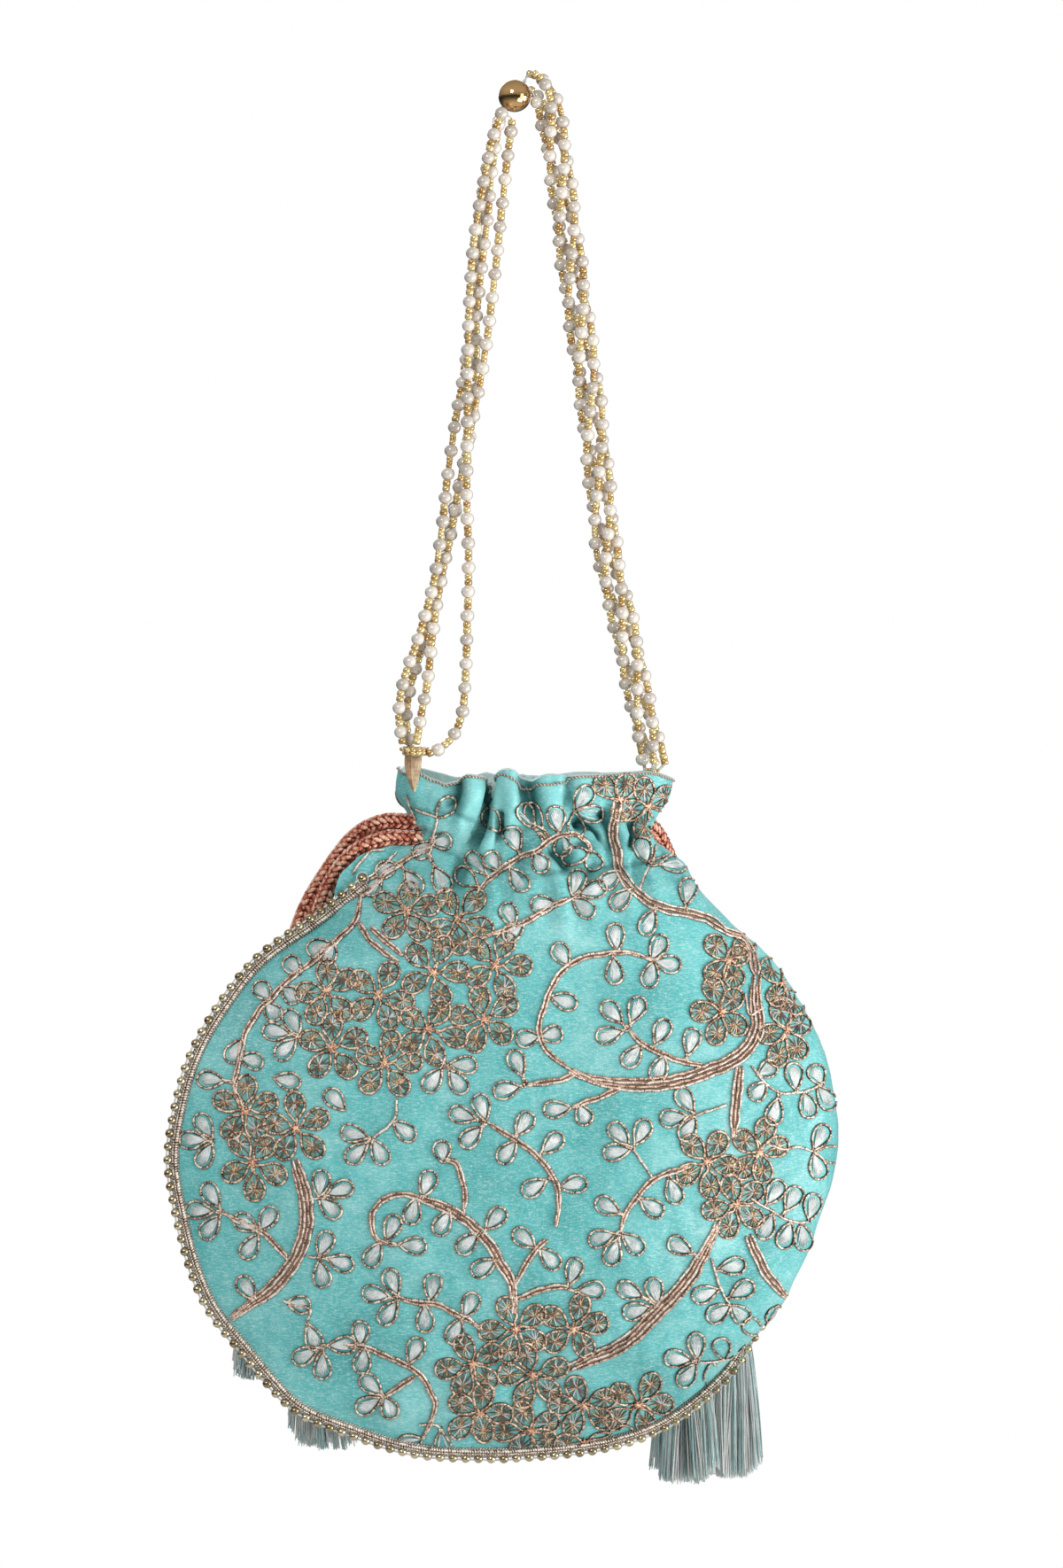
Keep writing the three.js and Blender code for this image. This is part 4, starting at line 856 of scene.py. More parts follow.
# ---------- embroidery chart ----------
# Where each motif sits on the front, in picture units (0.27 mm each; x to the right, y down), charted.
# Vines: name, rows of couched thread, points from root to tip.
VINES = [
    ("shoulder_left", 2, [(405, 1002), (402, 1034), (379, 1059), (353, 1082), (325, 1103), (307, 1122), (292, 1137), (281, 1154), (273, 1172), (270, 1190), (267, 1204), (263, 1221), (275, 1252)]),
    ("tuft_low", 2, [(403, 1037), (417, 1059), (434, 1073), (449, 1083)]),
    ("tuft_high", 2, [(417, 1044), (434, 1059), (454, 1076)]),
    ("neck_left", 2, [(487, 937), (487, 951), (471, 960), (455, 969), (444, 977), (433, 983), (425, 994), (415, 1004), (406, 1010)]),
    ("back_line_1", 1, [(396, 983), (417, 959), (433, 956)]),
    ("back_line_2", 1, [(406, 994), (428, 977), (447, 959)]),
    ("left_stem", 4, [(331, 1306), (338, 1328), (343, 1345), (345, 1362), (345, 1378), (341, 1397), (333, 1417), (319, 1437), (303, 1454), (280, 1470), (260, 1485)]),
    ("left_stem_spray_1", 1, [(342, 1352), (353, 1350), (360, 1350)]),
    ("left_stem_spray_2", 1, [(346, 1414), (350, 1416), (360, 1416)]),
    ("left_branch", 2, [(325, 1418), (313, 1406), (299, 1391), (280, 1380), (262, 1372), (250, 1365)]),
    ("low_left_1", 1, [(318, 1464), (330, 1470), (350, 1474), (345, 1488)]),
    ("low_left_2", 2, [(386, 1516), (410, 1517), (434, 1527), (461, 1539), (476, 1551), (485, 1568), (490, 1579), (488, 1594), (476, 1621)]),
    ("low_left_3", 2, [(467, 1550), (450, 1562), (432, 1573)]),
    ("low_left_4", 1, [(472, 1605), (484, 1604), (496, 1607)]),
    ("middle_top", 1, [(447, 1236), (445, 1258), (432, 1273), (419, 1282)]),
    ("middle_drop", 2, [(499, 1306), (513, 1309), (519, 1324), (524, 1345), (522, 1367)]),
    ("middle_long", 3, [(473, 1350), (495, 1357), (519, 1370), (539, 1387), (553, 1403), (564, 1423), (576, 1443), (579, 1461), (580, 1480)]),
    ("curl", 2, [(480, 1352), (454, 1345), (434, 1350), (420, 1365), (419, 1382), (425, 1396), (437, 1401)]),
    ("middle_right", 2, [(548, 1264), (564, 1273), (588, 1288), (606, 1303), (620, 1320), (629, 1341), (629, 1364), (626, 1382)]),
    ("middle_right_low", 2, [(617, 1395), (601, 1411), (588, 1432), (579, 1449)]),
    ("low_short", 2, [(579, 1464), (588, 1461), (611, 1452), (635, 1449), (647, 1454)]),
    ("low_vine", 2, [(449, 1462), (471, 1467), (493, 1469), (512, 1479), (531, 1488), (543, 1498)]),
    ("big_stem", 4, [(641, 1542), (664, 1531), (691, 1520), (714, 1505), (735, 1484), (755, 1464), (776, 1440), (790, 1417), (802, 1394), (808, 1379)]),
    ("big_branch", 1, [(802, 1417), (808, 1440), (817, 1461), (823, 1470)]),
    ("right_stem", 3, [(843, 1391), (852, 1411), (864, 1435), (881, 1455), (890, 1464)]),
    ("right_low", 1, [(878, 1470), (870, 1482), (861, 1496), (849, 1514), (834, 1526), (817, 1531), (793, 1534), (786, 1533)]),
    ("right_vine", 2, [(779, 1312), (767, 1317), (749, 1322), (732, 1332), (717, 1350), (705, 1367), (699, 1388)]),
    ("right_vine_branch", 1, [(735, 1326), (723, 1308), (713, 1294)]),
    ("right_spray_stem", 1, [(820, 1244), (802, 1250), (784, 1256)]),
    ("right_post", 3, [(834, 1200), (831, 1229), (828, 1259), (827, 1282)]),
    ("far_right", 1, [(846, 1200), (861, 1218), (875, 1229), (896, 1231), (916, 1226), (928, 1218)]),
    ("far_right_2", 1, [(870, 1290), (881, 1294), (902, 1292), (916, 1297)]),
    ("far_right_3", 1, [(845, 1350), (855, 1355), (875, 1367), (893, 1376), (911, 1376)]),
    ("neck_right", 3, [(696, 900), (693, 920), (691, 940), (696, 960), (696, 974), (701, 985), (710, 998), (724, 1010), (744, 1021), (764, 1026), (784, 1030), (800, 1036), (817, 1048), (837, 1056), (848, 1073)]),
    ("great_curve", 4, [(852, 1098), (851, 1127), (854, 1155), (845, 1177), (826, 1194), (801, 1205), (773, 1215), (739, 1221), (702, 1221), (666, 1215), (641, 1205)]),
    ("great_curve_top", 3, [(848, 1073), (852, 1098)]),
    ("great_tail", 2, [(641, 1205), (624, 1194), (610, 1180), (604, 1157), (610, 1135), (618, 1113), (632, 1093), (652, 1080), (677, 1075), (702, 1073), (725, 1079), (733, 1083)]),
    ("tail_1", 2, [(648, 1209), (632, 1216), (613, 1219), (593, 1222)]),
    ("tail_2", 2, [(702, 1224), (685, 1232), (664, 1240), (644, 1247)]),
    ("inner_branch", 2, [(795, 1201), (764, 1194), (742, 1185), (722, 1174), (708, 1159)]),
    ("neck_spray_stem", 1, [(721, 1002), (726, 988), (732, 975)]),
    ("channel_vine", 2, [(539, 1007), (547, 994), (561, 982), (575, 971), (587, 964), (603, 959), (615, 949), (627, 942), (637, 940), (648, 939), (660, 946), (665, 954), (665, 960)]),
    ("channel_vine_low", 2, [(644, 1010), (630, 1017), (617, 1023), (601, 1033), (587, 1040), (565, 1048), (548, 1054)]),
    ("mouth_left_1", 1, [(459, 894), (462, 908), (470, 922)]),
    ("mouth_left_2", 1, [(469, 909), (484, 917), (493, 921), (490, 932), (487, 949)]),
    ("spray_arm_1", 1, [(648, 914), (656, 906)]),
    ("petal_link_1", 1, [(840, 1118), (845, 1143), (861, 1134)]),
    ("petal_link_2", 1, [(502, 1199), (486, 1186)]),
]
# Leaves on the nearest vine: x, y of each leaf's middle.
LEAVES = [
    (361, 1068), (331, 1089), (297, 1117), (328, 1120), (307, 1139), (371, 1074), (266, 1184), (284, 1195), (238, 1217), (324, 1218), (379, 1240),
    (478, 957), (437, 979), (422, 998),
    (278, 1379), (302, 1374), (283, 1405), (239, 1347), (225, 1364), (238, 1383), (279, 1452), (337, 1470), (353, 1507),
    (407, 1503), (409, 1533), (468, 1522), (419, 1561), (416, 1583), (439, 1586), (499, 1628), (463, 1626),
    (400, 1278), (403, 1299), (428, 1298), (456, 1274), (499, 1298),
    (482, 1334), (466, 1365), (500, 1378), (528, 1401), (546, 1428), (559, 1374), (442, 1384), (466, 1404), (422, 1414),
    (522, 1257), (544, 1248), (532, 1281), (591, 1267), (573, 1298), (623, 1289), (603, 1338), (647, 1335), (592, 1396), (620, 1418),
    (647, 1433), (667, 1454), (443, 1445), (424, 1459), (439, 1479), (488, 1451), (480, 1486), (530, 1471), (514, 1500),
    (768, 1405), (826, 1427), (837, 1454), (796, 1458), (811, 1479), (834, 1480),
    (765, 1531), (786, 1517), (776, 1549), (815, 1520), (804, 1548), (850, 1496), (875, 1482), (846, 1523),
    (679, 1395), (692, 1411), (714, 1401), (686, 1360), (735, 1360), (760, 1342), (699, 1278), (724, 1276), (696, 1298), (760, 1260), (774, 1240), (777, 1272),
    (856, 1229), (865, 1206), (874, 1253), (896, 1213), (911, 1245), (922, 1212), (931, 1237), (925, 1282), (936, 1301), (922, 1314),
    (874, 1344), (894, 1351), (916, 1360), (865, 1382), (887, 1392), (906, 1394),
    (636, 1128), (634, 1076), (695, 1056), (693, 1094), (742, 1068), (753, 1086), (734, 1098), (596, 1170), (584, 1198), (622, 1166), (572, 1228), (629, 1250), (658, 1256),
    (718, 1138), (691, 1141), (688, 1166), (746, 1163), (780, 1174), (714, 1190), (744, 1204), (776, 1005), (732, 1039), (689, 991), (701, 1013),
    (580, 945), (595, 919), (603, 918), (555, 924), (498, 948), (503, 910), (538, 973), (557, 971), (526, 989), (585, 991), (497, 991), (466, 993), (609, 971),
    (628, 923), (635, 952), (650, 964), (669, 969), (650, 995), (669, 1003), (658, 1022), (614, 1019), (580, 1049), (575, 1031),
]
# Sprays: hub, then the middles of the leaves that spring from it.
SPRAYS = [
    ((338, 1167), [(331, 1152), (312, 1163), (323, 1182)]),
    ((502, 1199), [(523, 1200), (516, 1219), (489, 1217)]),
    ((241, 1285), [(231, 1269), (218, 1285), (232, 1302)]),
    ((360, 1350), [(362, 1334), (384, 1341), (372, 1361)]),
    ((360, 1416), [(366, 1402), (384, 1423), (363, 1436)]),
    ((364, 1517), [(345, 1527), (364, 1539), (386, 1516)]),
    ((743, 1470), [(711, 1455), (739, 1455), (718, 1477)]),
    ((732, 975), [(726, 958), (748, 956), (760, 974)]),
    ((648, 914), [(658, 899), (666, 916), (650, 928)]),
]
# Flowers: centre, then the middle of each petal.
FLOWERS = [
    ((459, 1027), [(461, 1010), (438, 1019), (446, 1044), (471, 1046), (481, 1022)]),
    ((517, 1037), [(535, 1017), (506, 1018), (497, 1047), (519, 1061), (541, 1045)]),
    ((489, 1097), [(472, 1078), (499, 1071), (514, 1096), (497, 1120), (469, 1108)]),
    ((368, 1118), [(369, 1098), (349, 1119), (358, 1140), (385, 1137), (388, 1106)]),
    ((427, 1122), [(410, 1108), (438, 1100), (452, 1128), (437, 1146), (410, 1137)]),
    ((483, 1160), [(467, 1149), (495, 1143), (512, 1169), (490, 1186), (465, 1175)]),
    ((375, 1182), [(375, 1158), (354, 1174), (362, 1200), (390, 1202), (399, 1172)]),
    ((434, 1199), [(417, 1191), (440, 1177), (461, 1198), (449, 1221), (419, 1219)]),
    ((559, 1089), [(542, 1071), (569, 1066), (585, 1089), (569, 1112), (540, 1101)]),
    ((547, 1150), [(542, 1127), (570, 1136), (564, 1164), (538, 1171), (523, 1146)]),
    ((276, 1253), [(278, 1228), (256, 1243), (298, 1245), (263, 1271), (288, 1271)]),
    ((334, 1273), [(333, 1247), (356, 1263), (352, 1292), (323, 1293), (313, 1268)]),
    ((285, 1311), [(272, 1292), (298, 1295), (309, 1323), (287, 1339), (266, 1321)]),
    ((582, 1499), [(573, 1478), (601, 1485), (601, 1510), (575, 1521), (556, 1501)]),
    ((647, 1499), [(626, 1486), (654, 1475), (671, 1493), (658, 1516), (628, 1512)]),
    ((534, 1538), [(525, 1520), (552, 1528), (548, 1553), (523, 1560), (507, 1543)]),
    ((601, 1550), [(595, 1530), (626, 1543), (618, 1566), (592, 1572), (577, 1550)]),
    ((658, 1584), [(651, 1567), (680, 1578), (677, 1598), (648, 1604), (634, 1584)]),
    ((720, 1584), [(704, 1573), (733, 1563), (744, 1583), (728, 1603), (698, 1599)]),
    ((541, 1593), [(522, 1584), (545, 1575), (563, 1594), (545, 1611), (521, 1609)]),
    ((600, 1613), [(591, 1595), (616, 1605), (614, 1622), (589, 1630), (572, 1614)]),
    ((660, 1626), [(641, 1628), (679, 1626), (700, 1619)]),
    ((798, 1310), [(783, 1294), (809, 1291), (819, 1314), (801, 1336), (778, 1323)]),
    ((857, 1300), [(842, 1288), (863, 1276), (874, 1294), (860, 1318), (841, 1316)]),
    ((831, 1358), [(826, 1340), (848, 1346), (847, 1371), (823, 1381), (808, 1364)]),
    ((698, 901), [(684, 888), (705, 887), (701, 913)]),
    ((731, 908), [(727, 892), (748, 899), (714, 912), (728, 930), (742, 925)]),
    ((822, 1084), [(809, 1069), (809, 1095), (831, 1079), (827, 1099), (838, 1068)]),
    ((815, 1141), [(806, 1118), (795, 1141), (809, 1163), (829, 1154), (825, 1129)]),
    ((888, 1162), [(881, 1143), (901, 1157), (898, 1180), (879, 1188), (870, 1166)]),
    ((882, 1110), [(877, 1122), (894, 1130), (871, 1096)]),
]

# ---------- laying motifs on the cloth ----------
class Ground:
    """Finds points and normals of the cloth under picture points, or under points of the back's mirrored chart."""

    def __init__(self, sides):
        points, faces, normals, shades, count = [], [], [], [], 0
        for side in sides:
            p, n, f, shade = halves[side]
            shades.append(shade.ravel())
            points.append(p.reshape(-1, 3))
            normals.append(n.reshape(-1, 3))
            faces.append(f + count)
            count += p.shape[0] * p.shape[1]
        self.points, self.normals, self.faces = np.concatenate(points), np.concatenate(normals), np.concatenate(faces)
        self.shades, self.depth_found = np.concatenate(shades), None
        self.tree = BVHTree.FromPolygons(self.points.tolist(), self.faces.tolist())

    def lay(self, picture, back=False):
        out, normals, _ = self.find(picture, back)
        return out, normals

    def runs(self, picture, back=False, closed=False, slack=2.4):
        """The line laid on the cloth, cut where it would leap across a gap or past the cloth's edge."""
        picture = np.asarray(picture, float)
        ring = np.vstack([picture, picture[:1]]) if closed else picture
        p, n, missed = self.find(ring, back)
        step = np.linalg.norm(np.diff(p, axis=0), axis=1)
        limit = slack * np.linalg.norm(np.diff(ring, axis=0), axis=1) * PIXEL + 0.3 * slack
        good = (step < limit) & ~(missed[1:] & missed[:-1])
        if slack < 2:  # fine stitches stay out of the creases
            good &= (self.depth_found[1:] < 0.4) & (self.depth_found[:-1] < 0.4)
        if good.all():
            return [(p[:-1], n[:-1], True)] if closed else [(p, n, False)]
        pieces, start = [], 0
        for k in range(len(good) + 1):
            if k == len(good) or not good[k]:
                if k - start >= 2:
                    pieces.append((p[start:k + 1], n[start:k + 1], False))
                start = k + 1
        return pieces

    def find(self, picture, back=False):
        out, normals, missed, found, depth = [], [], [], [], None
        for px, py in picture:
            if back:
                z = (124 - py) * PIXEL
                x = 94.2 - (px - 188) / 759 * 202.4
                x = x + 20 * float(smooth(-300, -225, z)) if z > -300 else x
                origin, way = np.array([x, 220.0, z]), np.array([0, -1.0, 0])
            else:
                origin, way = EYE, ray_through(px, py)
            hit, _, index, distance = self.tree.ray_cast(Vector(origin), Vector(way))
            missed.append(hit is None)
            if hit is None:
                guess = origin + way * (depth if depth else (FAR - 20 if not back else 190))
                hit, _, index, _ = self.tree.find_nearest(Vector(guess))
            else:
                depth = distance
            out.append(hit[:])
            normals.append(self.normals[self.faces[index]].mean(0))
            found.append(self.shades[self.faces[index]].mean())
        out, normals, self.depth_found = np.array(out), norm(np.array(normals)), np.array(found)
        if len(out) > 4:
            normals[1:-1] = norm(normals[:-2] + normals[1:-1] + normals[2:])
            out[1:-1] = 0.25 * out[:-2] + 0.5 * out[1:-1] + 0.25 * out[2:]
        return out, normals, np.array(missed)


def teardrop(middle, base, width, most, least, power, count):
    """Outline of a leaf or petal that springs from base, and its axis; t is 0 at the base and 1 at the tip."""
    middle, base = np.array(middle, float), np.array(base, float)
    way = middle - base
    reach = np.linalg.norm(way)
    way = way / max(reach, 1e-6)
    half = min(max(reach, least / 2), most / 2)
    square = np.array([-way[1], way[0]])
    t = (1 - np.cos(np.linspace(0, np.pi, count))) / 2
    f = t ** power * np.sqrt(np.maximum(1 - t, 0))
    f = f / f.max()
    foot = middle - way * half
    up = foot + way * (2 * half * t)[:, None] + square * (width / 2 * f)[:, None]
    down = foot + way * (2 * half * t)[:, None] - square * (width / 2 * f)[:, None]
    return np.vstack([up, down[::-1][1:-1]]), foot, way, square, half


def broad(t, power):
    f = t ** power * np.sqrt(max(1 - t, 0))
    top = power / (power + 0.5)
    return f / (top ** power * math.sqrt(1 - top))


class Embroidery:
    def __init__(self, ground, back, step, sides):
        self.ground, self.back, self.step, self.sides = ground, back, step, sides
        self.vines, self.outlines, self.fills, self.petals, self.spokes, self.patches = Heap(), Heap(), Heap(), Heap(), Heap(), Heap()
        self.roots = []

    def couch(self, heap, line, width=1.05, height=0.9, slot=0, closed=False, ends=0.3, lift=0.3):
        for p, n, whole in self.ground.runs(line, self.back, closed):
            w = width * (1 + 0.12 * np.interp(np.linspace(0, 1, len(p)), np.linspace(0, 1, 9), rng.rand(9) * 2 - 1))
            if not whole:
                w[0], w[-1] = w[0] * ends, w[-1] * ends
            tube(heap, p, n, w, height, self.sides, lift, whole, slot, start=100 * rng.rand())

    def vine(self, name, rows, points):
        shift = np.array([4.0, 2.0]) if name == "great_tail" else np.array([1.0, 3.0])
        line = spline(np.array(points, float) + shift, self.step)
        self.roots.append(line)
        way = norm(np.gradient(line, axis=0))
        square = np.stack([-way[:, 1], way[:, 0]], -1)
        share = np.linspace(0, 1, len(line))
        close = 1 - 0.6 * smooth(0.7, 1, share) - 0.3 * smooth(0.2, 0, share)
        wobble = np.arange(len(line)) * self.step
        for k in range(rows):
            offset = (k - (rows - 1) / 2) * (4.0 if rows == 2 else 4.6)
            start = int(len(line) * (0.04 * (k % 2)))
            moved = offset * close + 0.6 * waves(wobble, 60 + 7 * k + len(self.roots), 14, 34)
            self.couch(self.vines, (line + square * moved[:, None])[start:], 0.9, 0.85, slot=1 if (rows > 2 and k in (1, 3)) or (rows == 2 and k == 1) else 0)
        for k in range(rows - 1):  # darker threads sunk between the rows; their dark colour is painted shade in the gaps
            offset = (k - (rows - 2) / 2) * 4.6
            moved = offset * close + 0.5 * waves(wobble, 90 + 5 * k + len(self.roots), 14, 30)
            self.couch(self.vines, line + square * moved[:, None], 0.8, 0.5, slot=2, lift=0.06)

    def leaf(self, middle, base, width=20.0):
        outline, foot, way, square, half = teardrop(middle, base, width, 31, 25, 0.9, 13)
        base = np.array(base, float)
        gap = np.linalg.norm(foot - base)
        outline = outline + 0.9 * (rng.rand(*outline.shape) - 0.5)
        if 1.5 < gap < 30:
            aside = 1.6 + 0.8 * rng.rand()
            line = np.vstack([[base + square * aside, foot - way * min(3.0, gap / 2) + square * 0.6], outline, [foot - way * min(3.0, gap / 2) - square * 0.7, base - square * aside]])
            self.couch(self.outlines, evenly(line, self.step * 0.9), 0.86, 0.8)
        else:
            self.couch(self.outlines, evenly(np.vstack([outline, outline[:1]]), self.step * 0.9)[:-1], 0.86, 0.8, closed=True)
        # long stitches that fan out from the leaf's foot
        side = rng.choice([-1, 1])
        p, _, _ = self.ground.find([foot, foot + way * half, foot + way * 2 * half], self.back)
        folded = self.ground.depth_found.max() > 0.7 or np.linalg.norm(p[2] - p[0]) > 2.4 * 2 * half * PIXEL
        count = 0 if folded else 5 if self.back else 8  # a leaf inside a crease shows its outline only
        for k in range(count):
            spread = (k + 0.5) / count * 2 - 1
            reach = 2 * half * (0.84 - 0.2 * spread ** 2 + 0.06 * rng.rand())
            end = foot + way * reach + square * (width / 2 * 0.64 * spread + 0.6 * side)
            begin = foot + way * (2.6 + 1.5 * spread ** 2) + square * 0.9 * spread
            bow = (begin + end) / 2 + square * 0.9 * spread
            for p, n, _ in self.ground.runs(np.array([begin, (begin + bow) / 2 + square * 0.3 * spread, bow, (bow + end) / 2, end]), self.back, slack=1.5):
                if len(p) == 5:
                    p = p + n * np.array([0.1, 0.32, 0.4, 0.32, 0.05])[:, None]
                    tube(self.fills, p, n, np.array([0.4, 0.55, 0.62, 0.6, 0.35]), 0.42, 4, 0.05, start=100 * rng.rand())

    def petal(self, middle, base, width=23.0):
        outline, foot, way, square, half = teardrop(middle, base, width, 32, 27, 0.74, 13)
        outline = outline + 0.9 * (rng.rand(*outline.shape) - 0.5)
        base = np.array(base, float)
        gap = np.linalg.norm(foot - base)
        if gap > 1.5:
            line = np.vstack([[base + square * 1.3, foot - way * min(1.5, gap / 2) + square * 0.9], outline, [foot - way * min(1.5, gap / 2) - square * 0.9, base - square * 1.3]])
            self.couch(self.petals, evenly(line, self.step * 0.9), 0.92, 0.85)
        else:
            self.couch(self.petals, evenly(np.vstack([outline, outline[:1]]), self.step * 0.9)[:-1], 0.92, 0.85, closed=True)
        knot = foot + way * half * 1.16 + square * 1.5 * (rng.rand() - 0.5)
        ring = outline[::2]
        under, lifted = [], []
        for share in (0.05, 0.5, 0.92):
            p, n, missed = self.ground.find(knot + (ring - knot) * share, self.back)
            under.append(p)
            lifted.append(p + n * 0.07)
        spread = np.linalg.norm(np.array(under)[-1] - np.array(under)[0].mean(0), axis=1).max()
        if not missed.any() and spread < 7:
            self.patches.add(np.array(lifted), grid_faces(3, len(ring), False, True))
        count = 11 if self.back else 17
        for k in range(count):
            a = 2 * math.pi * (k + 0.5 * rng.rand()) / count
            ray = way * math.cos(a) + square * math.sin(a)
            # stop just inside the outline
            gaps = np.linalg.norm(outline - knot, axis=1)
            angles = (outline - knot) @ ray / np.maximum(gaps, 1e-6)
            far = max(4.0, gaps[angles.argmax()] * (0.8 + 0.1 * rng.rand()))
            bent = np.array([-ray[1], ray[0]]) * (rng.rand() - 0.5) * 1.6
            line = knot + ray * np.array([0.8, far * 0.55, far])[:, None] + bent * np.array([0, 1, 0.3])[:, None]
            for p, n, _ in self.ground.runs(line, self.back, slack=1.7):
                if len(p) == 3:
                    p = p + n * np.array([0.35, 0.28, 0.05])[:, None]
                    size = 0.36 + 0.22 * rng.rand()
                    tube(self.spokes, p, n, np.array([size, size * 1.2, size * 0.7]), 0.42, 4, 0.1, slot=int(rng.choice([0, 0, 0, 1, 2, 2])), start=100 * rng.rand())
        for p, n, _ in self.ground.runs([knot - way, knot, knot + way], self.back):
            beads(self.spokes, p[1:2] + n[1:2] * 0.25, n[1:2], ball_profile(0.4, 0.62, 5), 7, slot=0)

    def work(self, vines, leaves, sprays, flowers, label):
        for name, rows, points in vines:
            self.vine(name, rows, points)
        roots = np.vstack(self.roots)
        for middle in leaves:
            middle = np.array(middle, float) + (0, 2)
            gaps = np.linalg.norm(roots - middle, axis=1)
            base = roots[gaps.argmin()]
            if gaps.min() < 8:  # a leaf worked on its own stem springs from a point further back on it
                line = next(line for line in self.roots if (line == base).all(1).any())
                here = int((line == base).all(1).argmax())
                base = line[max(0, here - int(round(14 / self.step)))]
                if np.linalg.norm(base - middle) < 7:
                    base = line[min(len(line) - 1, here + int(round(14 / self.step)))]
            self.leaf(middle, base)
        for hub, middles in sprays:
            for middle in middles:
                self.leaf(np.array(middle) + (0, 2.0), np.array(hub) + (0, 2.0))
        for centre, middles in flowers:
            for middle in middles:
                self.petal(np.array(middle) + (0, 1.0), np.array(centre) + (0, 1.0))
            for k in range(3):  # threads that cross at the flower's centre
                a = math.pi * (k + 0.4 * rng.rand()) / 3
                ray = np.array([math.cos(a), math.sin(a)]) * 5.5
                heart = np.array(centre) + (0, 1.0)
                self.couch(self.petals, np.array([heart - ray, heart - ray * 0.4, heart + ray * 0.4, heart + ray]), 1.0, 0.85, slot=1, lift=0.6)
        for heap, part, skins in (
            (self.vines, "vines", [zari_peach, zari_brown, gap_shade_silk]), (self.outlines, "leaf_outlines", [zari_edge]), (self.fills, "leaf_fills", [leaf_floss]),
            (self.petals, "petal_outlines", [zari_petal, zari_star]), (self.spokes, "petal_spokes", [zari_spoke, silver_floss, dark_floss]), (self.patches, "petal_ground", [petal_ground]),
        ):
            made = heap.make(f"embroidery_{label}_{part}", skins)


front_work = Embroidery(Ground((-1, 1)), False, 2.8, 5)
front_work.work(VINES, LEAVES, SPRAYS, FLOWERS, "front")
back_work = Embroidery(Ground((1,)), True, 5.4, 4)
back_work.work([v for v in VINES if not v[0].startswith("back_line")], LEAVES, SPRAYS, FLOWERS, "back")


# ---------- rim and seam trim ----------
def seam_line(distance, step=1.0):
    """The side seam from the left shoulder round the bottom to the right shoulder, moved outwards in its plane."""
    t = np.concatenate([np.arange(5, 20.6, 0.25), [20.6]])
    left = np.stack([along("left", t), along("z", t)], -1)
    right = np.stack([along("right", t), along("z", t)], -1)
    line = np.vstack([left, [[-7.0, -407.8]], right[::-1]])
    line = evenly(line, 1.5)
    for _ in range(6):
        line[1:-1] = 0.25 * line[:-2] + 0.5 * line[1:-1] + 0.25 * line[2:]
    way = norm(np.gradient(line, axis=0))
    out = np.stack([way[:, 1], -way[:, 0]], -1)
    # on the right shoulder the trim is turned back behind the cloth
    right_side = (line[:, 0] > 0) & (line[:, 1] > -300)
    turn = np.where(right_side, math.radians(62) * smooth(-266, -252, line[:, 1]), 0)
    # on the left shoulder it lies on the cloth that laps over the opening
    forward = np.where(line[:, 0] < 0, 2.4 * smooth(-246, -238, line[:, 1]), 0)
    moved = np.stack([line[:, 0] + out[:, 0] * distance * np.cos(turn), distance * np.sin(turn) - forward, line[:, 1] + out[:, 1] * distance * np.cos(turn)], -1)
    return evenly(moved, step)


trim = Heap()
for side in (-1, 1):
    line = seam_line(1.0, 0.8) + np.array([0, side * 0.72, 0])
    tube(trim, line, np.array([0, side, 0.0]), tapered(len(line), 1.15), 1.0, 6)
    line = seam_line(1.95, 1.2) + np.array([0, side * 0.62, 0])
    tube(trim, line, np.array([0, side, 0.0]), tapered(len(line), 0.6), 0.5, 4)
trim_piece = trim.make("edging_twist", [edging])

rim_heap = Heap()
front_points, front_normals = halves[-1][0], halves[-1][1]
columns = to_picture(front_points[0])[:, 0]
drop = np.interp(columns, *np.array(RIM_DROP).T)
rim_front = np.array([
    [np.interp(drop[j], np.r_[0, np.cumsum(np.linalg.norm(np.diff(front_points[:8, j], axis=0), axis=1))], front_points[:8, j, k]) for k in range(3)]
    for j in range(front_points.shape[1])
]) + front_normals[1] * 0.3
rim_back = halves[1][0][0] + halves[1][1][0] * 0.25
rim_loop = evenly(np.vstack([rim_front, rim_back[::-1][1:-1], rim_front[:1]]), 0.7)[:-1]
rim_middle = rim_loop.mean(0)
rim_out = norm((rim_loop - rim_middle) * np.array([0.4, 1.6, 0]))
tube(rim_heap, rim_loop, rim_out, 0.75, 0.7, 6, closed=True)
rim_piece = rim_heap.make("rim_twist", [rim_thread])

band = Heap()
# rows: how far out from the seam, half thickness; the dip between is the tape's sunken line
TAPE_ROWS = np.array([[-0.1, 0.42], [0.5, 0.58], [1.1, 0.6], [1.45, 0.34], [1.75, 0.6], [2.3, 0.6], [2.8, 0.42], [3.0, 0.0]])
edges = [evenly(seam_line(offset, 1.0), count=620) for offset, _ in TAPE_ROWS]
turned = norm(np.cross(np.gradient(edges[0], axis=0), edges[-1] - edges[0]))
turned = turned * np.sign(turned[:, 1:2].mean()) * -1
both = [(edge, thick, offset) for edge, (offset, thick) in zip(edges, TAPE_ROWS)] + [(edge, -thick, offset) for edge, (offset, thick) in list(zip(edges, TAPE_ROWS))[-2::-1]]
section = np.stack([edge + turned * thick for edge, thick, _ in both], 1)
offsets = np.array([offset for _, _, offset in both])
faces = grid_faces(620, len(both), False, True)
run = np.r_[0, np.cumsum(np.linalg.norm(np.diff(edges[0], axis=0), axis=1))]
uv = np.stack([run[faces // len(both)], offsets[faces % len(both)]], -1)
band.add(section, faces[:, ::-1], uv4=uv[:, ::-1])
tape_piece = band.make("edge_tape_woven", [tape])
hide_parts("edge_tape")

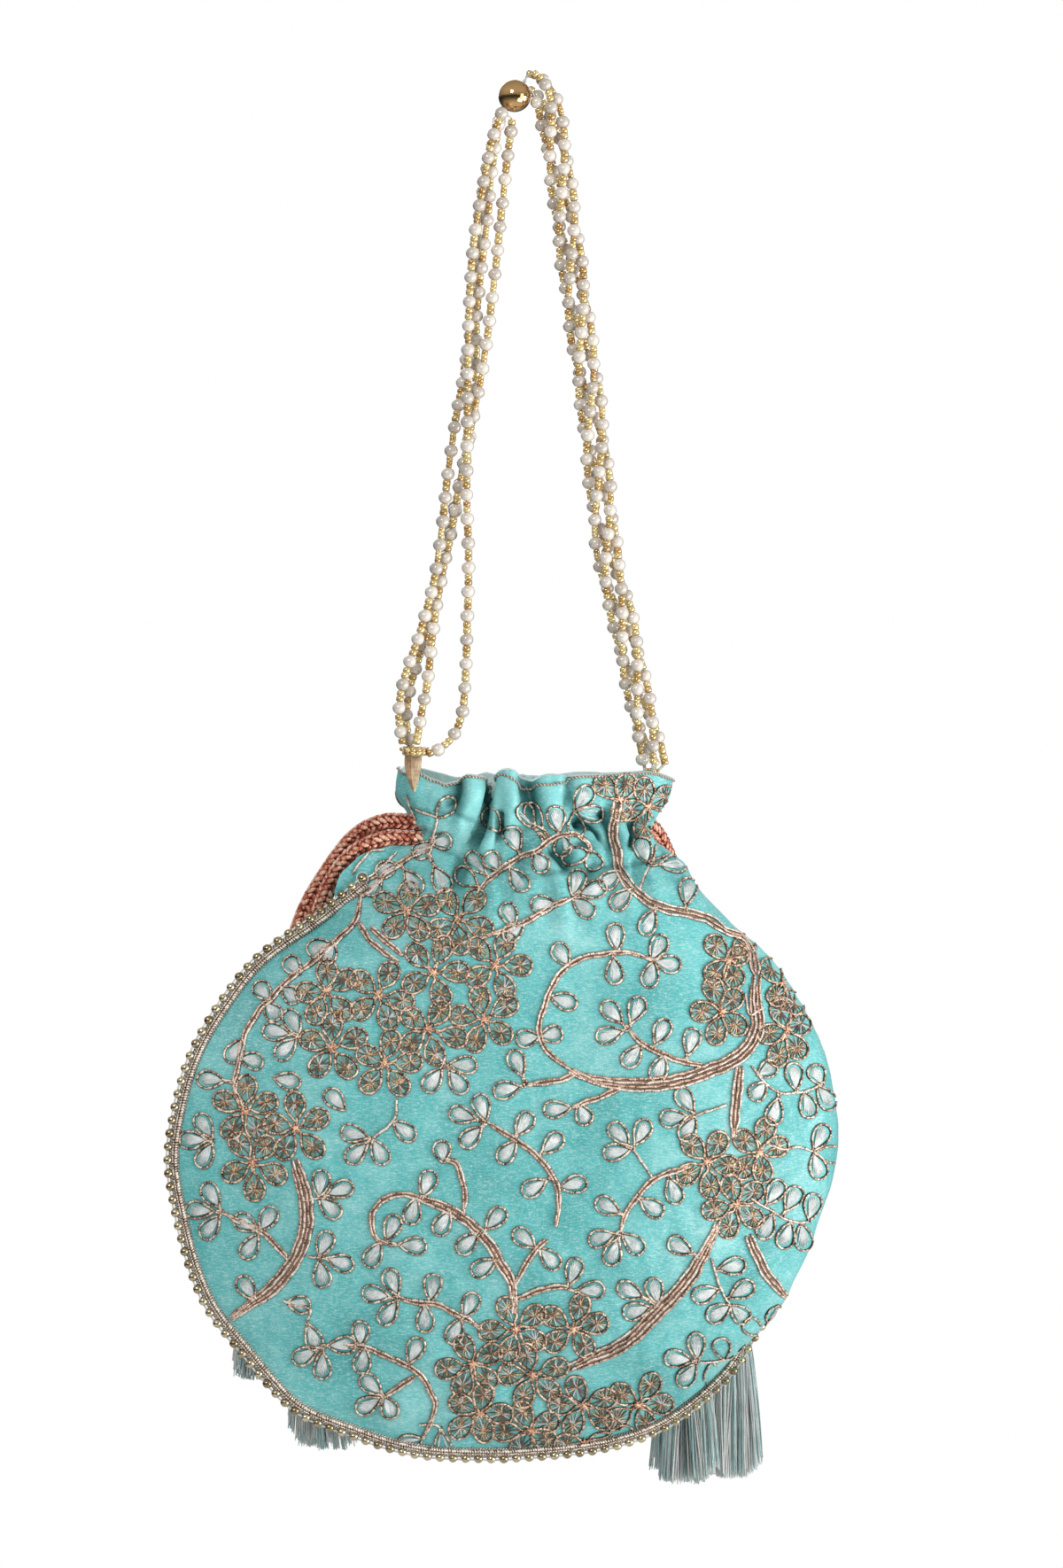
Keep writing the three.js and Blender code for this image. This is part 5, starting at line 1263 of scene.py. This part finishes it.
row = seam_line(3.3, 0.5)
row_length = route_length(row)
count = int(row_length / 4.0)
spots = evenly(row, count=count + 1)
ways = norm(np.gradient(spots, axis=0))
metal = Heap()
sizes = 1 + 0.05 * (rng.rand(len(spots)) - 0.5)
beads(metal, spots, ways, ball_profile(1.38, 1.35, 9, 0.35), 14, sizes)
edge_bead_piece = metal.make("edge_beads_metal", [trim_metal])
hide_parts("edge_beads")
run = Heap()
tube(run, seam_line(3.6, 1.2), np.array([0, 1.0, 0]), 0.6, 0.6, 5)
first_bead = spots[0] if spots[0, 0] < 0 else spots[-1]
a = np.linspace(0, 2 * np.pi, 25)[:-1]
tube(run, first_bead + np.stack([1.75 * np.cos(a), 0.3 * np.sin(a), 1.75 * np.sin(a)], -1), np.array([0, -1.0, 0]), 0.42, 0.42, 5, closed=True, slot=1)
lashing_piece = run.make("bead_lashing", [white_thread, silver_floss])


# ---------- beaded handle ----------
PEARL_PITCH, PEARL_RADIUS = 7.35, 1.97
TOP = np.array([-3.1, 0, 4.2])
TOP_AXIS = np.array([math.cos(math.radians(55)), 0, math.sin(math.radians(55))])
LEFT_STRANDS = {
    "strand_left_1": [
        (-7.0, 2.6, -1.8), (-11.0, 3.6, -18.3), (-13.4, 3.9, -34.2), (-14.6, 4.3, -50.2), (-15.4, 5.3, -66.2), (-18.1, 4.7, -81.9), (-21.8, 1.1, -97.0),
        (-24.6, -1.0, -112.7), (-26.9, -2.8, -128.5), (-29.7, -4.1, -144.2), (-34.0, -3.9, -159.6), (-39.4, -4.5, -174.7), (-41.0, -5.4, -184.3), (-39.9, -6.2, -194.0),
    ],
    "strand_left_2": [
        (-7.9, -1.1, -1.4), (-10.4, -0.7, -17.4), (-12.0, -0.9, -33.5), (-13.9, -0.4, -49.5), (-15.0, 0.9, -65.6), (-14.8, 1.8, -81.7), (-16.1, 3.4, -97.8),
        (-19.2, 4.0, -113.7), (-22.8, 3.9, -129.4), (-26.5, 3.4, -145.2), (-30.8, 1.5, -160.6), (-36.2, -1.3, -175.6), (-37.9, -2.3, -185.3), (-36.7, -3.2, -195.0),
    ],
    "strand_left_3": [
        (-3.5, 1.2, -3.0), (-5.7, 1.1, -19.8), (-7.6, 0.4, -35.5), (-9.6, -0.5, -51.1), (-12.0, -2.3, -66.5), (-14.5, -2.7, -82.1), (-17.2, -0.9, -97.5),
        (-20.3, -0.3, -112.9), (-23.1, -0.5, -128.4), (-26.6, -0.8, -143.8), (-29.6, -2.5, -159.2), (-31.9, -4.7, -174.6), (-34.2, -6.5, -183.8), (-36.4, -8.8, -192.9),
    ],
    "strand_left_4": [
        (-8.0, -2.7, -1.4), (-11.0, -4.3, -8.4), (-14.2, -3.8, -23.6), (-17.1, -3.2, -42.4), (-18.4, -3.2, -61.4), (-19.0, -3.8, -80.3), (-19.4, -4.8, -99.3), (-19.5, -4.4, -118.3),
        (-18.7, -3.7, -137.3), (-19.4, -4.7, -156.2), (-20.6, -6.6, -175.1), (-21.8, -7.7, -183.9), (-25.0, -8.8, -191.0), (-29.4, -9.5, -194.8), (-34.0, -10.0, -196.6),
    ],
}
RIGHT_CENTRE = [
    (0.6, 0, 9.5), (3.9, 0, 7.7), (7.0, 0, 2.9), (9.8, 0, -9.5), (12.1, 0, -25.1), (15.2, 0, -48.3), (18.0, 0, -67.7), (20.3, 0, -83.1),
    (23.4, 0, -109.3), (27.1, 0, -139.1), (29.9, 0, -149.9), (32.2, 0, -159.1), (35.8, 0, -175.9), (39.5, 0, -191.4), (41.5, 0, -199.8),
]
BUNDLE_RADIUS, BUNDLE_PITCH = 3.25, 88.0
START = {"strand_left_1": 1.6, "strand_left_2": 3.4, "strand_left_3": 3.6, "strand_left_4": 0.2, "strand_right_1": 5.0, "strand_right_2": 5.8, "strand_right_3": 4.6, "strand_right_4": 6.4}  # mm from the strand's upper end to its first pearl


def twisted_route(strand):
    centre = evenly(spline(RIGHT_CENTRE, 0.5), count=61)
    length = route_length(centre)
    t = norm(np.gradient(centre, axis=0))
    n1 = norm(np.array([0, 1.0, 0]) - t * t[:, 1:2])
    n2 = np.cross(t, n1)
    a = (2 * np.pi * length * np.arange(61) / 60 / BUNDLE_PITCH + (strand + 0.5) * np.pi / 2)[:, None]
    return centre + BUNDLE_RADIUS * (n1 * np.cos(a) + n2 * np.sin(a))


def strand(name, points):
    """Pearls with two or three seed beads between, on a thread."""
    path = spline(points, 0.4)
    at = np.r_[0, np.cumsum(np.linalg.norm(np.diff(path, axis=0), axis=1))]
    length = at[-1]
    way = norm(np.gradient(path, axis=0))

    def point(s):
        return np.array([np.interp(s, at, path[:, k]) for k in range(3)]), np.array([np.interp(s, at, way[:, k]) for k in range(3)])

    rnd = np.random.RandomState(sum(map(ord, name)))
    start = START.get(name, 4.6 * rnd.rand())
    while np.linalg.norm(point(start)[0] - TOP) < 5 + PEARL_RADIUS + 0.1:
        start += 0.2
    count = int((length - start - 1.6) // PEARL_PITCH) + 1
    heap = Heap()
    places, seeds = [], []
    spots = [start + k * PEARL_PITCH + (0.15 * (rnd.rand() - 0.5) if k else 0) for k in range(count)]
    for s in spots:
        places.append(point(s))
    wanted = []
    for a, b in zip(spots[:-1], spots[1:]):
        three = rnd.rand() < 0.15
        wanted += [((a + b) / 2 + off, 0.8 if three else 1.0) for off in ((-1.12, 0.0, 1.12) if three else (-0.86, 0.86))]
    wanted += [(s, 1.0) for s in np.arange(spots[0] - 2.8, 0.4, -1.72)] + [(s, 1.0) for s in np.arange(spots[-1] + 2.8, length - 0.2, 1.72)]
    for s, size in wanted:
        p, w = point(s)
        if np.linalg.norm(p - TOP) > 5 + 0.9:
            seeds.append((p + 0.12 * (rnd.rand(3) - 0.5), w + 0.12 * (rnd.rand(3) - 0.5), size))
    beads(heap, [p for p, _ in places], [w + 0.1 * (rnd.rand(3) - 0.5) for _, w in places], ball_profile(1.95, PEARL_RADIUS, 13, 0.22), 20,
          1.03 + 0.07 * (rnd.rand(len(places)) - 0.5), slot=0, squash=1 + 0.06 * (rnd.rand(len(places)) - 0.5))
    ring = np.array([[-0.66, 0.42], [-0.84, 0.82], [-0.72, 1.14], [0.0, 1.22], [0.72, 1.14], [0.84, 0.82], [0.66, 0.42]])
    beads(heap, [p for p, _, _ in seeds], [w for _, w, _ in seeds], ring, 10, np.array([f for _, _, f in seeds]) * (1 + 0.1 * (rnd.rand(len(seeds)) - 0.5)), slot=1)
    tube(heap, path[::8], np.array([0, 1.0, 0.001]), 0.5, 0.5, 5, slot=2)
    piece = heap.make(name + "_beads", [pearl_skin, seed_gold, white_thread])
    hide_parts(name)
    return path


left_paths = {name: strand(name, points) for name, points in LEFT_STRANDS.items()}
right_paths = {f"strand_right_{k + 1}": strand(f"strand_right_{k + 1}", twisted_route(k)) for k in range(4)}

ball = Heap()
a = np.linspace(math.asin(1.05 / 5), math.pi - math.asin(1.05 / 5), 29)
outline = np.stack([-5 * np.cos(a), 5 * np.sin(a)], -1)
outline = np.vstack([[[-4.2, 0.85]], [[-4.75, 0.9]], outline, [[4.75, 0.9]], [[4.2, 0.85]]])
beads(ball, [TOP], [TOP_AXIS], outline, 48)
ball_piece = ball.make("gold_bead_polished", [gold_polish])
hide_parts("gold_bead")

knots = Heap()
for k in range(5):  # threads through the ball
    a = 2 * math.pi * k / 5
    off = 0.33 * (np.array([0, 1.0, 0]) * math.cos(a) + np.cross(TOP_AXIS, [0, 1.0, 0]) * math.sin(a))
    tube(knots, TOP + off + TOP_AXIS * np.linspace(-5.9, 5.9, 14)[:, None], np.array([0, 1.0, 0]), 0.42, 0.42, 5)
low_end, high_end = TOP - TOP_AXIS * 5.7, TOP + TOP_AXIS * 5.7
for path in left_paths.values():
    line = spline([low_end, (low_end + path[0]) / 2 + np.array([-0.4, 0, 0.2]), path[0], path[6]], 0.8)
    tube(knots, line, np.array([0, 1.0, 0.01]), 0.42, 0.42, 5)
for path in right_paths.values():
    line = spline([high_end, (high_end + path[0]) / 2 + np.array([0, 0, 0.3]), path[0], path[6]], 0.8)
    tube(knots, line, np.array([0, 1.0, 0.01]), 0.42, 0.42, 5)
knot_piece = knots.make("top_threads", [silver_floss])
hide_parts("top_thread")


# ---------- tabs that tie the handle to the mouth ----------
def rim_point(side, share, below=0.0, out=0.0):
    p, n, _, _ = halves[side]
    column = int(round(share * (p.shape[1] - 1)))
    row = int(round(below / 1.05))
    return p[row, column] + n[row, column] * out, n[row, column]


tab = Heap()
for k in range(16):
    spread = (k + 0.5) / 16 * 2 - 1
    rows = []
    for z, share, half_width, out in ((-196.6, 0.1, 2.5, 1.9), (-199.3, 0.1, 2.6, 1.7), (-202.0, 0.1, 2.05, 1.4), (-204.3, 0.103, 1.45, 1.1), (-206.3, 0.107, 0.75, 0.9), (-207.9, 0.11, 0.2, 0.7)):
        at, chord = share, 85
        x = -39.6 + chord * (3 * at * at * (1 - at) + at ** 3) + spread * half_width * 0.93
        y = -22.6 * (3 * at * (1 - at) ** 2 + 3 * at * at * (1 - at)) - spread * half_width * 0.36 - out - 0.35 * math.sqrt(max(0, 1 - spread ** 2))
        rows.append((x + 0.12 * (rng.rand() - 0.5), y + 0.1 * (rng.rand() - 0.5), z))
    line = spline(rows, 0.9)
    # strands on the tab's left side take the darker silk: painted shade on that side
    tube(tab, line, np.array([-0.3, -1.0, 0]), tapered(len(line), 0.5, 0.5), 0.45, 5, slot=int(spread + 0.5 * (rng.rand() - 0.5) < -0.15))
tab_piece = tab.make("thread_tab_left_silk", [tan_silk, shaded_tab_silk])
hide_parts("thread_tab_left")

wraps = Heap()
for k in range(3):  # gold seed wraps where the strands are gathered
    a = np.linspace(0, 2 * np.pi, 30)[:-1]
    centre = np.array([-36.6 + 0.5 * k, -7.2, -195.0 - 0.95 * k])
    loop = centre + np.stack([(3.9 - 0.3 * k) * np.cos(a), (3.0 - 0.25 * k) * np.sin(a), 0.3 * np.sin(a + k)], -1)
    if k < 2:
        spots = evenly(np.vstack([loop, loop[:1]]), count=14 - k)[:-1]
        beads(wraps, spots, norm(np.roll(spots, -1, 0) - np.roll(spots, 1, 0)), [[-0.8, 0.4], [-0.6, 0.68], [0, 0.76], [0.6, 0.68], [0.8, 0.4]], 8, slot=0)
    tube(wraps, loop, np.array([0, 0, 1.0]), 0.5, 0.5, 5, closed=True, slot=1)
wrap_piece = wraps.make("handle_wraps_left", [seed_gold, tan_silk])

right_tab = Heap()
foot_points = [path[-1] for path in right_paths.values()]
for k, foot in enumerate(foot_points):
    for strand_turn in range(3):
        off = 0.35 * np.array([math.cos(2.1 * strand_turn), math.sin(2.1 * strand_turn), 0])
        line = spline([foot + off + (0, 0, 1.5), foot + off, np.array([39.2, 0.4 * (k - 1.5), -205.0]) + off, np.array([38.4, 0.5 * (k - 1.5), -210.6]) + off], 1.0)
        tube(right_tab, line, np.array([0, 1.0, 0.01]), 0.45, 0.45, 5)
for k in range(3):  # seed beads round the gathered threads, just over the rim
    a = np.linspace(0, 2 * np.pi, 10)[:-1] + 0.3 * k
    spots = np.array([40.4 - 0.3 * k, 0, -201.4 - 1.35 * k]) + np.stack([(1.9 - 0.2 * k) * np.cos(a), (2.1 - 0.2 * k) * np.sin(a), 0.3 * np.sin(2 * a)], -1)
    beads(right_tab, spots, norm(np.roll(spots, -1, 0) - np.roll(spots, 1, 0)), [[-0.66, 0.35], [-0.5, 0.6], [0, 0.68], [0.5, 0.6], [0.66, 0.35]], 8, slot=1)
right_tab_piece = right_tab.make("thread_tab_right_silk", [white_thread, seed_gold])
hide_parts("thread_tab_right")


# ---------- stage and light ----------
def area_light(name, location, target, size, power, colour=(1, 1, 1)):
    data = bpy.data.lights.new(name, "AREA")
    data.shape, data.size, data.size_y, data.energy, data.color = "RECTANGLE", size[0], size[1], power, colour
    obj = bpy.data.objects.new(name, data)
    bpy.context.scene.collection.objects.link(obj)
    obj.location = location
    obj.rotation_euler = (Vector(target) - Vector(location)).to_track_quat("-Z", "Y").to_euler()


area_light("key", (-1.55, -2.1, 1.2), (0, 0, -0.25), (0.8, 0.9), 29)
area_light("fill", (1.7, -2.1, -0.3), (0, 0, -0.25), (1.2, 1.4), 11)
area_light("side", (2.2, -1.0, -0.7), (0.05, 0, -0.36), (1.0, 1.0), 38)
area_light("low", (1.2, -1.9, -1.5), (0.02, 0, -0.33), (1.4, 0.9), 34)
area_light("back", (0.3, 2.4, 0.9), (0, 0, -0.25), (1.6, 1.4), 20)

# The surroundings are pale with darker bands, which give the metal something to reflect.
world = bpy.data.worlds.new("studio")
bpy.context.scene.world = world
world.use_nodes = True
tree = world.node_tree
background = next(n for n in tree.nodes if n.type == "BACKGROUND")
background.inputs["Strength"].default_value = 0.42
direction = tree.nodes.new("ShaderNodeTexCoord")
parts = tree.nodes.new("ShaderNodeSeparateXYZ")
tree.links.new(direction.outputs["Generated"], parts.inputs[0])
bands = tree.nodes.new("ShaderNodeValToRGB")
for at, level in ((0.0, 0.95), (0.2, 0.95), (0.3, 0.4), (0.4, 0.1), (0.5, 0.12), (0.56, 0.8), (0.75, 1.25), (1.0, 1.15)):
    stop = bands.color_ramp.elements[0] if at == 0.0 else bands.color_ramp.elements[-1] if at == 1.0 else bands.color_ramp.elements.new(at)
    stop.color = (level, level, level, 1)
height = tree.nodes.new("ShaderNodeMath")
height.operation = "MULTIPLY_ADD"
height.inputs[1].default_value, height.inputs[2].default_value = 0.5, 0.5
tree.links.new(parts.outputs[2], height.inputs[0])
tree.links.new(height.outputs[0], bands.inputs[0])
tree.links.new(bands.outputs[0], background.inputs["Color"])
bright = tree.nodes.new("ShaderNodeBackground")
bright.inputs["Color"].default_value = (1, 1, 1, 1)
bright.inputs["Strength"].default_value = 1.0
seen = tree.nodes.new("ShaderNodeLightPath")
blend = tree.nodes.new("ShaderNodeMixShader")
tree.links.new(seen.outputs["Is Camera Ray"], blend.inputs[0])
tree.links.new(background.outputs[0], blend.inputs[1])
tree.links.new(bright.outputs[0], blend.inputs[2])
tree.links.new(blend.outputs[0], next(n for n in tree.nodes if n.type == "OUTPUT_WORLD").inputs[0])
bpy.context.scene.view_settings.view_transform = "Standard"

floor_mesh = bpy.data.meshes.new("floor")
ring = [(0.62 * math.cos(a), 0.62 * math.sin(a), -0.53) for a in np.linspace(0, 2 * math.pi, 65)[:-1]]
floor_mesh.from_pydata(ring, [], [list(range(64))])
floor = bpy.data.objects.new("floor", floor_mesh)
bpy.context.scene.collection.objects.link(floor)
pale = Shader("floor_pale", Base_Color=(0.86, 0.86, 0.86, 1), Roughness=0.8)
reach = pale.node("VectorMath", operation="LENGTH", i0=pale.place((1, 1, 0)), out=1)
pale.set(Alpha=pale.range(reach, 0.34, 0.6, 1.0, 0.0))
floor_mesh.materials.append(pale.material)
